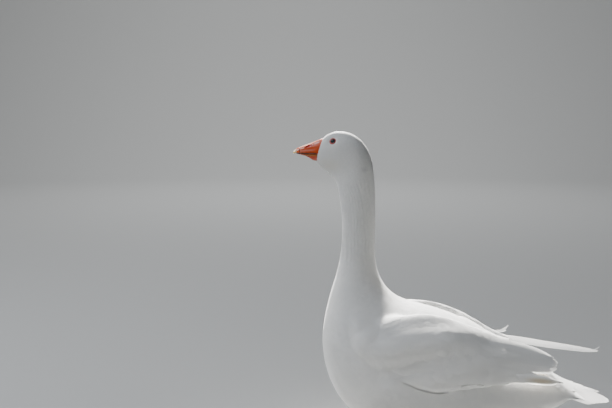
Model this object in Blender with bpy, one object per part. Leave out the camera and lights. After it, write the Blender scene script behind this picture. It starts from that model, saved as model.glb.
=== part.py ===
"""Domestic goose of the white Embden type, standing: a life-size still model in one pose.

Metres, +Z up. The bill points to -X, the bird's left side is -Y, and the soles are at z = 0. While it is
modelled, x is measured from the axis of the neck and y from the mid-plane; centre_on_floor then puts the
origin under the middle of the whole bird.
"""

import math

import bmesh
import bpy
import numpy as np
from mathutils import Vector

GAP = 0.0003  # between neighbouring solids
FLOOR = 0.0
SIDES = {"left": -1, "right": 1}

# ---- Body: stations from the bill root, over the head and down the neck, to the root of the tail ----
# Each station is a slanted section: a point on the back line, a point on the throat and belly line, the
# half width, and how far up from the belly line it is widest (0 to 1).
BODY_STATIONS = (
    # back x, back z, front x, front z, half width, widest
    (-0.071, 0.6875, -0.0860, 0.6410, 0.0150, 0.45),  # bill root
    (-0.0600, 0.6955, -0.0790, 0.6300, 0.0195, 0.46),
    (-0.0450, 0.7000, -0.0680, 0.6205, 0.0235, 0.48),  # eyes and forehead
    (-0.0280, 0.6995, -0.0580, 0.6135, 0.0265, 0.50),  # crown and cheeks
    (-0.0100, 0.6935, -0.0500, 0.6060, 0.0280, 0.52),
    (0.0070, 0.6810, -0.0450, 0.5960, 0.0285, 0.55),
    (0.0210, 0.6600, -0.0410, 0.5830, 0.0290, 0.56),
    (0.0295, 0.6330, -0.0385, 0.5690, 0.0295, 0.54),  # nape
    (0.0330, 0.6000, -0.0365, 0.5540, 0.0300, 0.52),
    (0.0350, 0.5650, -0.0340, 0.5370, 0.0305, 0.50),
    (0.0355, 0.5280, -0.0320, 0.5150, 0.0310, 0.50),  # narrowest part of the neck
    (0.0350, 0.4900, -0.0325, 0.4850, 0.0315, 0.50),
    (0.0350, 0.4560, -0.0355, 0.4500, 0.0330, 0.50),
    (0.0390, 0.4250, -0.0430, 0.4120, 0.0400, 0.48),
    (0.0480, 0.4010, -0.0530, 0.3790, 0.0520, 0.46),  # root of the neck
    (0.0620, 0.3810, -0.0620, 0.3440, 0.0680, 0.44),
    (0.0820, 0.3660, -0.0690, 0.3040, 0.0860, 0.42),  # shoulders
    (0.1080, 0.3580, -0.0705, 0.2610, 0.0990, 0.42),
    (0.1360, 0.3530, -0.0615, 0.2130, 0.1090, 0.44),  # breast
    (0.1650, 0.3460, -0.0405, 0.1650, 0.1160, 0.46),
    (0.1950, 0.3370, 0.0000, 0.1220, 0.1200, 0.47),
    (0.2260, 0.3240, 0.0540, 0.1010, 0.1140, 0.46),  # belly
    (0.2570, 0.3060, 0.1200, 0.0930, 0.1050, 0.46),
    (0.2890, 0.2890, 0.1930, 0.0960, 0.0940, 0.47),
    (0.3200, 0.2730, 0.2570, 0.1080, 0.0810, 0.48),
    (0.3490, 0.2570, 0.3070, 0.1230, 0.0690, 0.50),
    (0.3740, 0.2420, 0.3440, 0.1430, 0.0590, 0.52),  # root of the tail
)
BODY_SIDES = 26
HEAD_END, NECK_MIDDLE, NECK_END, TRUNK_END = 7.5, 11.0, 14.5, 26.0  # in stations
HEAD_RINGS, BODY_RINGS = 1.6, 1.3  # rings to a station

# ---- Bill ----
# Stations of the upper bill: culmen point, edge point, half width. It is a dome over a flat underside.
UPPER_BILL = (
    (-0.0712, 0.6864, -0.0812, 0.6548, 0.0138),
    (-0.0830, 0.6820, -0.0890, 0.6548, 0.0133),
    (-0.0950, 0.6768, -0.0980, 0.6550, 0.0126),
    (-0.1080, 0.6721, -0.1090, 0.6556, 0.0118),
    (-0.1190, 0.6680, -0.1185, 0.6562, 0.0108),
)
NAIL = (
    (-0.1190, 0.6680, -0.1185, 0.6562, 0.0108),
    (-0.1260, 0.6650, -0.1255, 0.6560, 0.0088),
    (-0.1312, 0.6612, -0.1305, 0.6552, 0.0058),
    (-0.1338, 0.6575, -0.1330, 0.6542, 0.0020),
)
# Stations of the lower bill: edge point, keel point, half width. It is a trough under a flat top.
LOWER_BILL = (
    (-0.0818, 0.6542, -0.0868, 0.6398, 0.0122),
    (-0.0900, 0.6542, -0.0930, 0.6412, 0.0118),
    (-0.1000, 0.6544, -0.1010, 0.6462, 0.0108),
    (-0.1110, 0.6550, -0.1115, 0.6502, 0.0096),
    (-0.1220, 0.6555, -0.1222, 0.6530, 0.0074),
    (-0.1275, 0.6550, -0.1277, 0.6538, 0.0040),
)
BILL_SIDES = 16
BILL_FLAT_POINTS = 3  # between the two edges of the flat
BILL_RINGS = 2
BILL_FULLNESS = 0.85  # under 1 is boxier than a half circle

# ---- Eyes ----
EYE_RADIUS = 0.0070
EYE_AT = (-0.0492, 0.0158, 0.6805)
EYE_SEGMENTS, EYE_RINGS = 12, 8

# ---- Folded wings, given for one side with y outwards ----
# Stations: x, upper edge (y, z), lower edge (y, z), bulge of the outer face, thickness.
# The right wing lies a little lower on the back, and its tip crosses the rump.
COVERT_STATIONS = {
    "left": (
        (0.001, 0.0880, 0.2980, 0.0950, 0.2780, 0.0090, 0.013),  # bend of the wing
        (0.018, 0.0840, 0.3170, 0.0980, 0.2640, 0.0180, 0.023),
        (0.050, 0.0780, 0.3370, 0.1040, 0.2470, 0.0260, 0.030),
        (0.090, 0.0710, 0.3490, 0.1100, 0.2270, 0.0300, 0.031),
        (0.135, 0.0640, 0.3560, 0.1170, 0.2120, 0.0300, 0.029),
        (0.180, 0.0590, 0.3510, 0.1170, 0.2110, 0.0290, 0.028),
        (0.225, 0.0520, 0.3350, 0.1100, 0.2180, 0.0260, 0.026),
        (0.270, 0.0410, 0.3180, 0.0980, 0.2250, 0.0210, 0.022),
        (0.310, 0.0290, 0.3080, 0.0860, 0.2300, 0.0160, 0.016),
    ),
    "right": (
        (0.001, 0.0880, 0.2980, 0.0950, 0.2780, 0.0090, 0.013),
        (0.018, 0.0840, 0.3170, 0.0980, 0.2640, 0.0180, 0.023),
        (0.050, 0.0780, 0.3370, 0.1040, 0.2470, 0.0260, 0.030),
        (0.090, 0.0710, 0.3490, 0.1100, 0.2270, 0.0300, 0.031),
        (0.135, 0.0640, 0.3510, 0.1170, 0.2120, 0.0300, 0.029),
        (0.180, 0.0590, 0.3430, 0.1170, 0.2100, 0.0280, 0.028),
        (0.225, 0.0520, 0.3240, 0.1100, 0.2160, 0.0250, 0.026),
        (0.270, 0.0420, 0.3000, 0.0980, 0.2220, 0.0200, 0.022),
        (0.310, 0.0330, 0.2890, 0.0860, 0.2260, 0.0150, 0.016),
    ),
}
TERTIAL_STATIONS = {
    "left": (
        (0.310, 0.0290, 0.3080, 0.0740, 0.2600, 0.0120, 0.0130),
        (0.345, 0.0190, 0.2970, 0.0690, 0.2530, 0.0090, 0.0090),
        (0.375, 0.0160, 0.2820, 0.0640, 0.2490, 0.0060, 0.0060),
        (0.391, 0.0240, 0.2700, 0.0600, 0.2500, 0.0030, 0.0040),
        (0.399, 0.0400, 0.2610, 0.0540, 0.2550, 0.0010, 0.0020),
    ),
    "right": (
        (0.310, 0.0510, 0.2770, 0.0800, 0.2440, 0.0070, 0.0090),
        (0.340, 0.0500, 0.2660, 0.0740, 0.2420, 0.0060, 0.0070),
        (0.365, 0.0500, 0.2570, 0.0680, 0.2410, 0.0040, 0.0050),
        (0.380, 0.0520, 0.2510, 0.0620, 0.2430, 0.0020, 0.0030),
    ),
}
PRIMARY_STATIONS = {
    "left": (
        (0.310, 0.0755, 0.2580, 0.0850, 0.2300, 0.0040, 0.0120),
        (0.345, 0.0690, 0.2505, 0.0770, 0.2280, 0.0035, 0.0090),
        (0.380, 0.0600, 0.2450, 0.0670, 0.2270, 0.0025, 0.0060),
        (0.405, 0.0500, 0.2370, 0.0540, 0.2290, 0.0010, 0.0025),
    ),
    "right": (
        (0.310, 0.0330, 0.2890, 0.0500, 0.2790, 0.0040, 0.0090),
        (0.350, 0.0260, 0.2830, 0.0440, 0.2740, 0.0030, 0.0060),
        (0.400, 0.0220, 0.2800, 0.0380, 0.2710, 0.0020, 0.0040),
        (0.445, 0.0230, 0.2760, 0.0350, 0.2690, 0.0015, 0.0030),
        (0.475, 0.0270, 0.2720, 0.0320, 0.2690, 0.0008, 0.0018),
    ),
}
WING_SIDES = 16
WING_RINGS = 2
OUTER_FULLNESS, INNER_FULLNESS = 0.8, 0.45  # under 1 fills out the section near its edges

# ---- Tail, behind the last section of the body: x, height of the middle, half width, half thickness ----
TAIL_STATIONS = (
    (0.3900, 0.1950, 0.0550, 0.0320),
    (0.4200, 0.1940, 0.0530, 0.0180),
    (0.4500, 0.1900, 0.0560, 0.0090),
    (0.4750, 0.1850, 0.0540, 0.0035),
    (0.4900, 0.1815, 0.0400, 0.0015),
    (0.4970, 0.1800, 0.0180, 0.0010),
)
TAIL_RINGS = 2

# ---- Legs and feet, given for one side with y outwards ----
STANCE_HALF = 0.058  # mid-plane to each ankle
ANKLE_X = {"left": 0.138, "right": 0.156}  # the feet are slightly staggered
ANKLE_Z = 0.0190
HOCK_Z = 0.0900
HOCK_BACK = 0.018  # the hock is this far behind its ankle
HOCK_OUT = 0.004
SHANK_RADII = (0.0098, 0.0072, 0.0064, 0.0066, 0.0082)  # hock to ankle
# The feathered thigh, from inside the belly to the hock: offset from the hock, radius.
THIGH_LINE = (
    ((-0.034, -0.014, 0.085), 0.0400),
    ((-0.024, -0.004, 0.048), 0.0340),
    ((-0.010, 0.001, 0.019), 0.0220),
    ((0.001, 0.000, -0.004), 0.0128),
)
# The joint above the toes: offset from the ankle, radius.
ANKLE_LINE = (
    ((-0.0040, 0, -0.013), 0.0074),
    ((-0.0020, 0, -0.007), 0.0086),
    ((0.0000, 0, 0.000), 0.0084),
    ((0.0015, 0, 0.006), 0.0076),
)
HIND_TOE_LINE = (
    ((0.000, -0.002, -0.008), 0.0048),
    ((0.009, -0.004, -0.012), 0.0042),
    ((0.016, -0.006, -0.016), 0.0032),
)
TOE_LENGTHS = {"inner": 0.060, "middle": 0.082, "outer": 0.074}
TOE_SPREAD = {"inner": -27.0, "middle": 1.0, "outer": 27.0}  # degrees, outwards is positive
TOE_RADIUS = 0.0056
TOE_TAPER = 0.42  # share of the radius lost from ankle to tip
TOE_PADS, PAD_SWELL = 3, 0.10
TOE_SUNK = 0.62  # height of a toe's middle over the floor, in radii
INSTEP_RISE, INSTEP_END = 0.008, 0.38  # how much the toes rise to the ankle, over what share of them
WEB_THICKNESS = 0.0020
WEB_SCALLOP = 0.80  # how far out the web's edge reaches between two toe tips
WEB_STEPS = 5  # along the edge from one toe tip to the next
CLAW_LENGTH = 0.009
CLAW_RADIUS = 0.0027
CLAW_DROP = 0.0042  # from a claw's root down to its tip
CUTTER_REACH = 0.15

COLOURS = {
    # name: colour, roughness
    "plumage": ((0.86, 0.87, 0.88), 0.75),
    "bill": ((0.85, 0.24, 0.04), 0.45),
    "nail": ((0.90, 0.66, 0.42), 0.40),
    "eye": ((0.02, 0.07, 0.10), 0.05),
    "leg": ((0.85, 0.30, 0.05), 0.55),
    "claw": ((0.62, 0.50, 0.38), 0.45),
}
SHARP_ANGLE = math.radians(40)


# ---- Making objects ----
def clear_scene():
    for obj in list(bpy.data.objects):
        bpy.data.objects.remove(obj, do_unlink=True)


def new_collection(name):
    collection = bpy.data.collections.new(name)
    bpy.context.scene.collection.children.link(collection)
    return collection


def material(name, part_name):
    """A material of its own for each part."""
    colour, roughness = COLOURS[name]
    made = bpy.data.materials.new(f"{name}_{part_name}")
    made.use_nodes = True
    shader = made.node_tree.nodes["Principled BSDF"]
    shader.inputs["Base Color"].default_value = (*colour, 1.0)
    shader.inputs["Roughness"].default_value = roughness
    shader.inputs["Metallic"].default_value = 0.0
    return made


def finish_object(name, mesh, colour, collection):
    obj = bpy.data.objects.new(name, mesh)
    collection.objects.link(obj)
    mesh.materials.clear()
    mesh.materials.append(material(colour, name))
    mesh.shade_smooth()
    mesh.set_sharp_from_angle(angle=SHARP_ANGLE)
    return obj


def mesh_from(shape, name):
    """A mesh from a bmesh, with its faces turned outwards."""
    bmesh.ops.recalc_face_normals(shape, faces=shape.faces)
    mesh = bpy.data.meshes.new(name)
    shape.to_mesh(mesh)
    shape.free()
    return mesh


def mesh_from_curve(curve):
    """The closed mesh of a curve with filled caps; the curve itself is removed."""
    guide = bpy.data.objects.new(curve.name, curve)
    bpy.context.scene.collection.objects.link(guide)
    bpy.context.view_layer.update()
    graph = bpy.context.evaluated_depsgraph_get()
    loose = bpy.data.meshes.new_from_object(guide.evaluated_get(graph))
    shape = bmesh.new()
    shape.from_mesh(loose)
    bmesh.ops.remove_doubles(shape, verts=shape.verts, dist=1e-6)
    bpy.data.objects.remove(guide, do_unlink=True)
    bpy.data.curves.remove(curve)
    bpy.data.meshes.remove(loose)
    return mesh_from(shape, "limb")


def smooth_stations(stations, at):
    """Catmull-Rom through the stations, at a place counted in stations."""
    rows = np.array(stations, float)
    last = len(rows) - 1
    i = min(int(math.floor(at)), last - 1)
    t = at - i
    before = rows[i - 1] if i > 0 else 2 * rows[0] - rows[1]
    after = rows[i + 2] if i + 2 <= last else 2 * rows[last] - rows[last - 1]
    a, b = rows[i], rows[i + 1]
    return 0.5 * (
        2 * a
        + (b - before) * t
        + (2 * before - 5 * a + 4 * b - after) * t**2
        + (3 * a - before - 3 * b + after) * t**3
    )


def places(first, last, per_station):
    """Evenly spaced places between two stations, both ends included."""
    return np.linspace(first, last, max(2, round((last - first) * per_station) + 1))


def loft(name, rings, colour, collection):
    """A closed solid through rings of the same number of points, capped at both ends."""
    shape = bmesh.new()
    loops = [[shape.verts.new(point) for point in ring] for ring in rings]
    count = len(loops[0])
    for near, far in zip(loops, loops[1:]):
        for i in range(count):
            j = (i + 1) % count
            shape.faces.new((near[i], near[j], far[j], far[i]))
    shape.faces.new(loops[0])
    shape.faces.new(loops[-1])
    bmesh.ops.triangulate(shape, faces=shape.faces)  # so that a part and its cutter share every edge
    return finish_object(name, mesh_from(shape, name), colour, collection)


def tube(name, line, colour, collection, resolution=3):
    """A round limb through (point, radius) pairs."""
    curve = bpy.data.curves.new(name + "_line", "CURVE")
    curve.dimensions = "3D"
    curve.bevel_depth = 1.0
    curve.bevel_resolution = resolution
    curve.use_fill_caps = True
    spline = curve.splines.new("POLY")
    spline.points.add(len(line) - 1)
    for spot, (point, radius) in zip(spline.points, line):
        spot.co = (*point, 1.0)
        spot.radius = radius
    return finish_object(name, mesh_from_curve(curve), colour, collection)


def resampled(line, count):
    """The (point, radius) pairs of a limb smoothed to more of them."""
    rows = [(*point, radius) for point, radius in line]
    smooth = [smooth_stations(rows, at) for at in np.linspace(0, len(rows) - 1, count)]
    return [(Vector(row[:3]), row[3]) for row in smooth]


# ---- Cutting and joining ----
def make_helper(obj, cutters):
    """Turns an object into a helper that is no part of the bird."""
    for collection in list(obj.users_collection):
        collection.objects.unlink(obj)
    cutters.objects.link(obj)
    obj.hide_render = True
    obj.display_type = "WIRE"
    return obj


def boolean(obj, operation, other):
    modifier = obj.modifiers.new(f"{operation.lower()} {other.name}", "BOOLEAN")
    modifier.operation = operation
    modifier.solver = "EXACT"
    modifier.object = other


def grown_copy(obj, cutters):
    """A cutter that is a gap larger all round than a part."""
    cutter = bpy.data.objects.new(obj.name + "_cutter", obj.data.copy())
    cutter.location = obj.location
    grow = cutter.modifiers.new("gap", "DISPLACE")
    grow.strength = GAP
    grow.mid_level = 0.0
    return make_helper(cutter, cutters)


def cut_off(obj, centre, low, high, cutters):
    """Removes what lies between two heights, near a point."""
    shape = bmesh.new()
    bmesh.ops.create_cube(shape, size=1.0)
    bmesh.ops.scale(shape, vec=(2 * CUTTER_REACH, 2 * CUTTER_REACH, high - low), verts=shape.verts)
    bmesh.ops.translate(shape, vec=(centre.x, centre.y, (low + high) / 2), verts=shape.verts)
    block = bpy.data.objects.new(obj.name + "_block", mesh_from(shape, obj.name + "_block"))
    boolean(obj, "DIFFERENCE", make_helper(block, cutters))


# ---- Head, neck and trunk ----
def body_ring(at):
    """The slanted section of the body at a place counted in stations, from the back line round."""
    back_x, back_z, front_x, front_z, half, widest = smooth_stations(BODY_STATIONS, at)
    ring = []
    for k in range(BODY_SIDES):
        angle = 2 * math.pi * k / BODY_SIDES
        up = math.cos(angle)
        along = widest + ((1 - widest) * up if up > 0 else widest * up)
        ring.append(Vector((
            front_x + (back_x - front_x) * along,
            half * math.sin(angle),
            front_z + (back_z - front_z) * along,
        )))
    return ring


def shifted(ring, distance):
    """The ring moved along the normal of its own plane, towards the tail when distance is positive."""
    top, bottom = ring[0], ring[len(ring) // 2]
    normal = (top - bottom).cross(Vector((0, -1, 0))).normalized()
    return [point + normal * distance for point in ring]


def body_piece(name, first, last, per_station, collection):
    """A length of the body, with half a gap left at each cut end."""
    rings = [body_ring(at) for at in places(first, last, per_station)]
    if first > 0:
        rings[0] = shifted(rings[0], GAP / 2)
    rings[-1] = shifted(rings[-1], -GAP / 2)
    return loft(name, rings, "plumage", collection)


def tail(collection):
    """The fan of the tail, which starts at the body's last section and thins to its rear edge."""
    rings = [shifted(body_ring(TRUNK_END), GAP / 2)]
    angles = [2 * math.pi * k / BODY_SIDES for k in range(BODY_SIDES)]
    for at in places(0, len(TAIL_STATIONS) - 1, TAIL_RINGS):
        x, middle, half, thick = smooth_stations(TAIL_STATIONS, at)
        rings.append([
            Vector((x, half * math.sin(angle), middle + thick * math.cos(angle)))
            for angle in angles
        ])
    return loft("tail", rings, "plumage", collection)


# ---- Bill ----
def half_round_ring(station, domed_up):
    """An arch over a flat edge: a dome for the upper bill, a trough for the lower one."""
    top_x, top_z, low_x, low_z, half = station
    arch = BILL_SIDES - BILL_FLAT_POINTS - 1
    ring = []
    for k in range(arch + 1):
        angle = math.pi * k / arch
        rise = math.sin(angle) ** BILL_FULLNESS
        along = rise if domed_up else 1 - rise
        ring.append(Vector((
            low_x + (top_x - low_x) * along,
            half * math.cos(angle),
            low_z + (top_z - low_z) * along,
        )))
    flat_x, flat_z = (low_x, low_z) if domed_up else (top_x, top_z)
    for k in range(1, BILL_FLAT_POINTS + 1):
        ring.append(Vector((flat_x, half * (-1 + 2 * k / (BILL_FLAT_POINTS + 1)), flat_z)))
    return ring


def bill_rings(stations, domed_up):
    return [
        half_round_ring(smooth_stations(stations, at), domed_up)
        for at in places(0, len(stations) - 1, BILL_RINGS)
    ]


def on_bill_root(point):
    """The point moved along the bill to just in front of the head's slanted front face."""
    back_x, back_z, front_x, front_z = BODY_STATIONS[0][:4]
    lean = (back_x - front_x) / (back_z - front_z)
    gap_along_bill = GAP * math.hypot(1, lean) * 1.1
    return Vector((back_x + (point.z - back_z) * lean - gap_along_bill, point.y, point.z))


def bill(collection):
    for name, stations, domed_up in (
        ("bill_upper", UPPER_BILL, True), ("bill_lower", LOWER_BILL, False)
    ):
        rings = bill_rings(stations, domed_up)
        rings[0] = [on_bill_root(point) for point in rings[0]]
        loft(name, rings, "bill", collection)
    rings = bill_rings(NAIL, True)
    rings[0] = [point - Vector((GAP, 0, 0)) for point in rings[0]]
    loft("bill_nail", rings, "nail", collection)


# ---- Eyes ----
def eye(name, side, collection):
    """An eyeball set in the side of the head, its poles pointing out and in."""
    shape = bmesh.new()
    bmesh.ops.create_uvsphere(
        shape, u_segments=EYE_SEGMENTS, v_segments=EYE_RINGS, radius=EYE_RADIUS
    )
    outwards = Vector((0, 0, 1)).rotation_difference(Vector((0, side, 0))).to_matrix()
    bmesh.ops.rotate(shape, verts=shape.verts, cent=(0, 0, 0), matrix=outwards)
    obj = finish_object(name, mesh_from(shape, name), "eye", collection)
    x, y, z = EYE_AT
    obj.location = (x, side * y, z)
    return obj


# ---- Wings ----
def wing_ring(station, side):
    """A section of a folded wing: a thin lens with rounded edges, bulging outwards."""
    x, upper_y, upper_z, lower_y, lower_z, bulge, thickness = station
    upper, lower = Vector((0, upper_y, upper_z)), Vector((0, lower_y, lower_z))
    chord = lower - upper
    outwards = Vector((0, -chord.z, chord.y)).normalized()
    half = WING_SIDES // 2
    ring = []
    for k in range(WING_SIDES):
        outer = k < half
        step = k if outer else WING_SIDES - 1 - k
        along = 0.5 - 0.5 * math.cos(math.pi * (step + 0.5) / half)
        arch = math.sin(math.pi * along)
        height = bulge * arch**OUTER_FULLNESS
        if not outer:
            height -= thickness * arch**INNER_FULLNESS
        point = upper + chord * along + outwards * height
        ring.append(Vector((x, side * point.y, point.z)))
    return ring


def wing_piece(name, stations, side, start_gap, collection):
    rings = [
        wing_ring(smooth_stations(stations, at), side)
        for at in places(0, len(stations) - 1, WING_RINGS)
    ]
    rings[0] = [point + Vector((start_gap, 0, 0)) for point in rings[0]]
    return loft(name, rings, "plumage", collection)


def wing(side_name, collection):
    """A folded wing in three solids: the coverts, and behind them the tertials over the primaries."""
    return [
        wing_piece(f"{name}_{side_name}", stations[side_name], SIDES[side_name], gap, collection)
        for name, stations, gap in (
            ("wing", COVERT_STATIONS, 0.0),
            ("tertials", TERTIAL_STATIONS, GAP),
            ("primaries", PRIMARY_STATIONS, GAP),
        )
    ]


# ---- Legs and feet ----
def ankle(side_name):
    return Vector((ANKLE_X[side_name], SIDES[side_name] * STANCE_HALF, ANKLE_Z))


def hock(side_name):
    outwards = SIDES[side_name] * HOCK_OUT
    return ankle(side_name) + Vector((HOCK_BACK, outwards, HOCK_Z - ANKLE_Z))


def placed(line, origin, side):
    """A line of (offset, radius) pairs set at a point, with y turned outwards on either side."""
    return [(origin + Vector((x, side * y, z)), radius) for (x, y, z), radius in line]


def toe_direction(toe, side):
    angle = math.radians(TOE_SPREAD[toe])
    return Vector((-math.cos(angle), side * math.sin(angle), 0))


def toe_tip(side_name, toe):
    start = ankle(side_name)
    start.z = FLOOR
    return start + toe_direction(toe, SIDES[side_name]) * TOE_LENGTHS[toe]


def toe_line(side_name, toe):
    """A toe's points and radii: three pads, sunk in the floor so that its underside is cut flat."""
    start, tip = ankle(side_name), toe_tip(side_name, toe)
    start.z = FLOOR
    line = []
    for t in np.linspace(0, 1, 2 * TOE_PADS + 1):
        swell = 1 + PAD_SWELL * math.cos(2 * math.pi * TOE_PADS * t)
        radius = TOE_RADIUS * (1.12 - TOE_TAPER * t) * swell
        instep = INSTEP_RISE * max(0.0, 1 - t / INSTEP_END) ** 1.5
        line.append((start.lerp(tip, t) + Vector((0, 0, radius * TOE_SUNK + instep)), radius))
    return line


def web(side_name, collection):
    """The web between the front toes: a flat outline with a hollow edge between two toe tips."""
    start = ankle(side_name)
    tips = [toe_tip(side_name, toe) for toe in ("inner", "middle", "outer")]
    outline = [start + Vector((0.004, 0, 0))]
    for near, far in zip(tips, tips[1:]):
        for t in np.linspace(0, 1, WEB_STEPS + 1)[: None if far is tips[-1] else -1]:
            reach = 1 - (1 - WEB_SCALLOP) * math.sin(math.pi * t) ** 0.8
            outline.append(start.lerp(near.lerp(far, t), 0.97 * reach))
    curve = bpy.data.curves.new("web_outline", "CURVE")
    curve.dimensions = "2D"
    curve.fill_mode = "BOTH"
    curve.extrude = WEB_THICKNESS
    spline = curve.splines.new("POLY")
    spline.use_cyclic_u = True
    spline.points.add(len(outline) - 1)
    for spot, point in zip(spline.points, outline):
        spot.co = (point.x, point.y, FLOOR, 1)
    return finish_object(f"web_{side_name}", mesh_from_curve(curve), "leg", collection)


def foot(side_name, parts, cutters):
    """Three webbed toes and a small hind toe joined to the ankle, flat underneath."""
    side, origin = SIDES[side_name], ankle(side_name)
    made = tube(f"foot_{side_name}", placed(ANKLE_LINE, origin, side), "leg", parts)
    pieces = [
        tube(f"toe_{toe}_{side_name}", toe_line(side_name, toe), "leg", parts, resolution=2)
        for toe in TOE_LENGTHS
    ]
    hind_line = placed(HIND_TOE_LINE, origin, side)
    pieces.append(tube(f"toe_hind_{side_name}", hind_line, "leg", parts, resolution=2))
    pieces.append(web(side_name, parts))
    for piece in pieces:
        boolean(made, "UNION", make_helper(piece, cutters))
    cut_off(made, origin, FLOOR - CUTTER_REACH, FLOOR, cutters)
    cut_off(made, origin, ANKLE_Z, ANKLE_Z + CUTTER_REACH, cutters)
    return made


def claw(name, tip, direction, length, collection):
    """A small claw that curves down to the floor ahead of its toe."""
    line = []
    for t in np.linspace(0, 1, 4):
        radius = CLAW_RADIUS * (1 - 0.75 * t**1.3)
        rise = Vector((0, 0, CLAW_DROP * (1 - t) + radius + GAP))
        line.append((tip + direction * (length * (t - 0.25)) + rise, radius))
    return tube(name, line, "claw", collection, resolution=1)


def claws(side_name, foot_solid, parts, cutters):
    side = SIDES[side_name]
    places_of_claws = {
        toe: (toe_tip(side_name, toe), toe_direction(toe, side), CLAW_LENGTH)
        for toe in TOE_LENGTHS
    }
    hind_tip = ankle(side_name) + Vector((0.017, -side * 0.006, -ANKLE_Z))
    hind_direction = Vector((1, -side * 0.4, 0)).normalized()
    places_of_claws["hind"] = (hind_tip, hind_direction, 0.7 * CLAW_LENGTH)
    for toe, (tip, direction, length) in places_of_claws.items():
        made = claw(f"claw_{toe}_{side_name}", tip, direction, length, parts)
        boolean(foot_solid, "DIFFERENCE", grown_copy(made, cutters))


def shank(side_name, parts, cutters):
    """The bare lower leg, cut flat at the hock and at the ankle."""
    low, high = ankle(side_name), hock(side_name)
    past_end = 0.06  # runs past both cuts, as a share of its length
    spots = [high.lerp(low, t) for t in np.linspace(-past_end, 1 + past_end, len(SHANK_RADII))]
    line = resampled(list(zip(spots, SHANK_RADII)), 8)
    made = tube(f"shank_{side_name}", line, "leg", parts)
    cut_off(made, low, ANKLE_Z - CUTTER_REACH, ANKLE_Z + GAP, cutters)
    cut_off(made, high, HOCK_Z, HOCK_Z + CUTTER_REACH, cutters)


def thigh(side_name, parts, cutters):
    """The feathered upper leg, from inside the belly down to the hock."""
    high = hock(side_name)
    line = resampled(placed(THIGH_LINE, high, SIDES[side_name]), 8)
    made = tube(f"thigh_{side_name}", line, "plumage", parts, resolution=5)
    cut_off(made, high, HOCK_Z - CUTTER_REACH, HOCK_Z + GAP, cutters)
    return made


def centre_on_floor(objects):
    """Parents all objects to an empty that puts the middle of the bird's box over the origin."""
    bpy.context.view_layer.update()
    graph = bpy.context.evaluated_depsgraph_get()
    corners = []
    for obj in objects:
        if not obj.hide_render:
            evaluated = obj.evaluated_get(graph)
            corners += [evaluated.matrix_world @ Vector(corner) for corner in evaluated.bound_box]
    middle = [
        (min(corner[i] for corner in corners) + max(corner[i] for corner in corners)) / 2
        for i in range(2)
    ]
    stand = bpy.data.objects.new("goose_origin", None)
    bpy.context.scene.collection.objects.link(stand)
    stand.location = (-middle[0], -middle[1], 0)
    for obj in objects:
        obj.parent = stand


def main():
    clear_scene()
    parts = new_collection("domestic_goose")
    cutters = new_collection("cutters")
    cutters.hide_render = True

    head = body_piece("head", 0, HEAD_END, HEAD_RINGS, parts)
    body_piece("neck_upper", HEAD_END, NECK_MIDDLE, BODY_RINGS, parts)
    body_piece("neck_lower", NECK_MIDDLE, NECK_END, BODY_RINGS, parts)
    trunk = body_piece("trunk", NECK_END, TRUNK_END, BODY_RINGS, parts)
    tail_solid = tail(parts)
    bill(parts)
    for name, side in SIDES.items():
        boolean(head, "DIFFERENCE", grown_copy(eye(f"eye_{name}", side, parts), cutters))
        for piece in wing(name, parts):
            cutter = grown_copy(piece, cutters)
            boolean(trunk, "DIFFERENCE", cutter)
            boolean(tail_solid, "DIFFERENCE", cutter)
        shank(name, parts, cutters)
        boolean(trunk, "DIFFERENCE", grown_copy(thigh(name, parts, cutters), cutters))
        claws(name, foot(name, parts, cutters), parts, cutters)
    centre_on_floor(list(parts.objects) + list(cutters.objects))


main()
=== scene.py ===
"""A white domestic goose standing alert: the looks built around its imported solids.

Metres, +Z up. The bill points to -X, the bird's left side is -Y, and the soles are at z = 0. Places on the
bird are given from the axis of its neck: x back towards the tail, y to the right, z up from the floor.
"""
import contextlib
import itertools
import math

import bpy
import numpy as np
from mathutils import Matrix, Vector
from mathutils.bvhtree import BVHTree
from mathutils.kdtree import KDTree


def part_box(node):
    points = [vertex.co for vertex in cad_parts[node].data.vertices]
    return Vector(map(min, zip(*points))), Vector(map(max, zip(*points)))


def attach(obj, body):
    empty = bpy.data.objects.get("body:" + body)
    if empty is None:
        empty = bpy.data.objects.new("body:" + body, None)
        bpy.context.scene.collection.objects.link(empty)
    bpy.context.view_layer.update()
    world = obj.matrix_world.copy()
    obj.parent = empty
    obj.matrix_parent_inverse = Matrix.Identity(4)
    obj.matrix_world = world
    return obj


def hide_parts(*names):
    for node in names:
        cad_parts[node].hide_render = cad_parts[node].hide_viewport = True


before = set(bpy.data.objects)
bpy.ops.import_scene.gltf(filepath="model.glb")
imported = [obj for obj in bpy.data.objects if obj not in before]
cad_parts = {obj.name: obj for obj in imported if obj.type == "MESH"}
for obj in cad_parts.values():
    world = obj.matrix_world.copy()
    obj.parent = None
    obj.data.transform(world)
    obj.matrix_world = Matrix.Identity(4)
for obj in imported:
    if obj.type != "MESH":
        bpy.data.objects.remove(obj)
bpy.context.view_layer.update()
DICE = np.random.default_rng(11)

SIDES = {"left": -1, "right": 1}
BILL_REACH = 0.13365  # the tip of the bill to the axis of the neck
NECK_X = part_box("bill_nail")[0].x + BILL_REACH
NECK_RADIUS = 0.035
RELAX = 0.5  # how far each round of smoothing moves a point to the middle of its neighbours

# ---- Camera, floor and lights ----
CAMERA_AT = (0.251, -1.6846, 0.754)  # from the axis of the neck
CAMERA_TURN = (83.29, 0.0, 12.0)  # degrees
LENS, SENSOR = 50, 36
FLOOR_RADIUS, WALL_HEIGHT, WALL_BEND, WALL_STEPS = 7.0, 2.4, 2.0, 12
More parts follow.
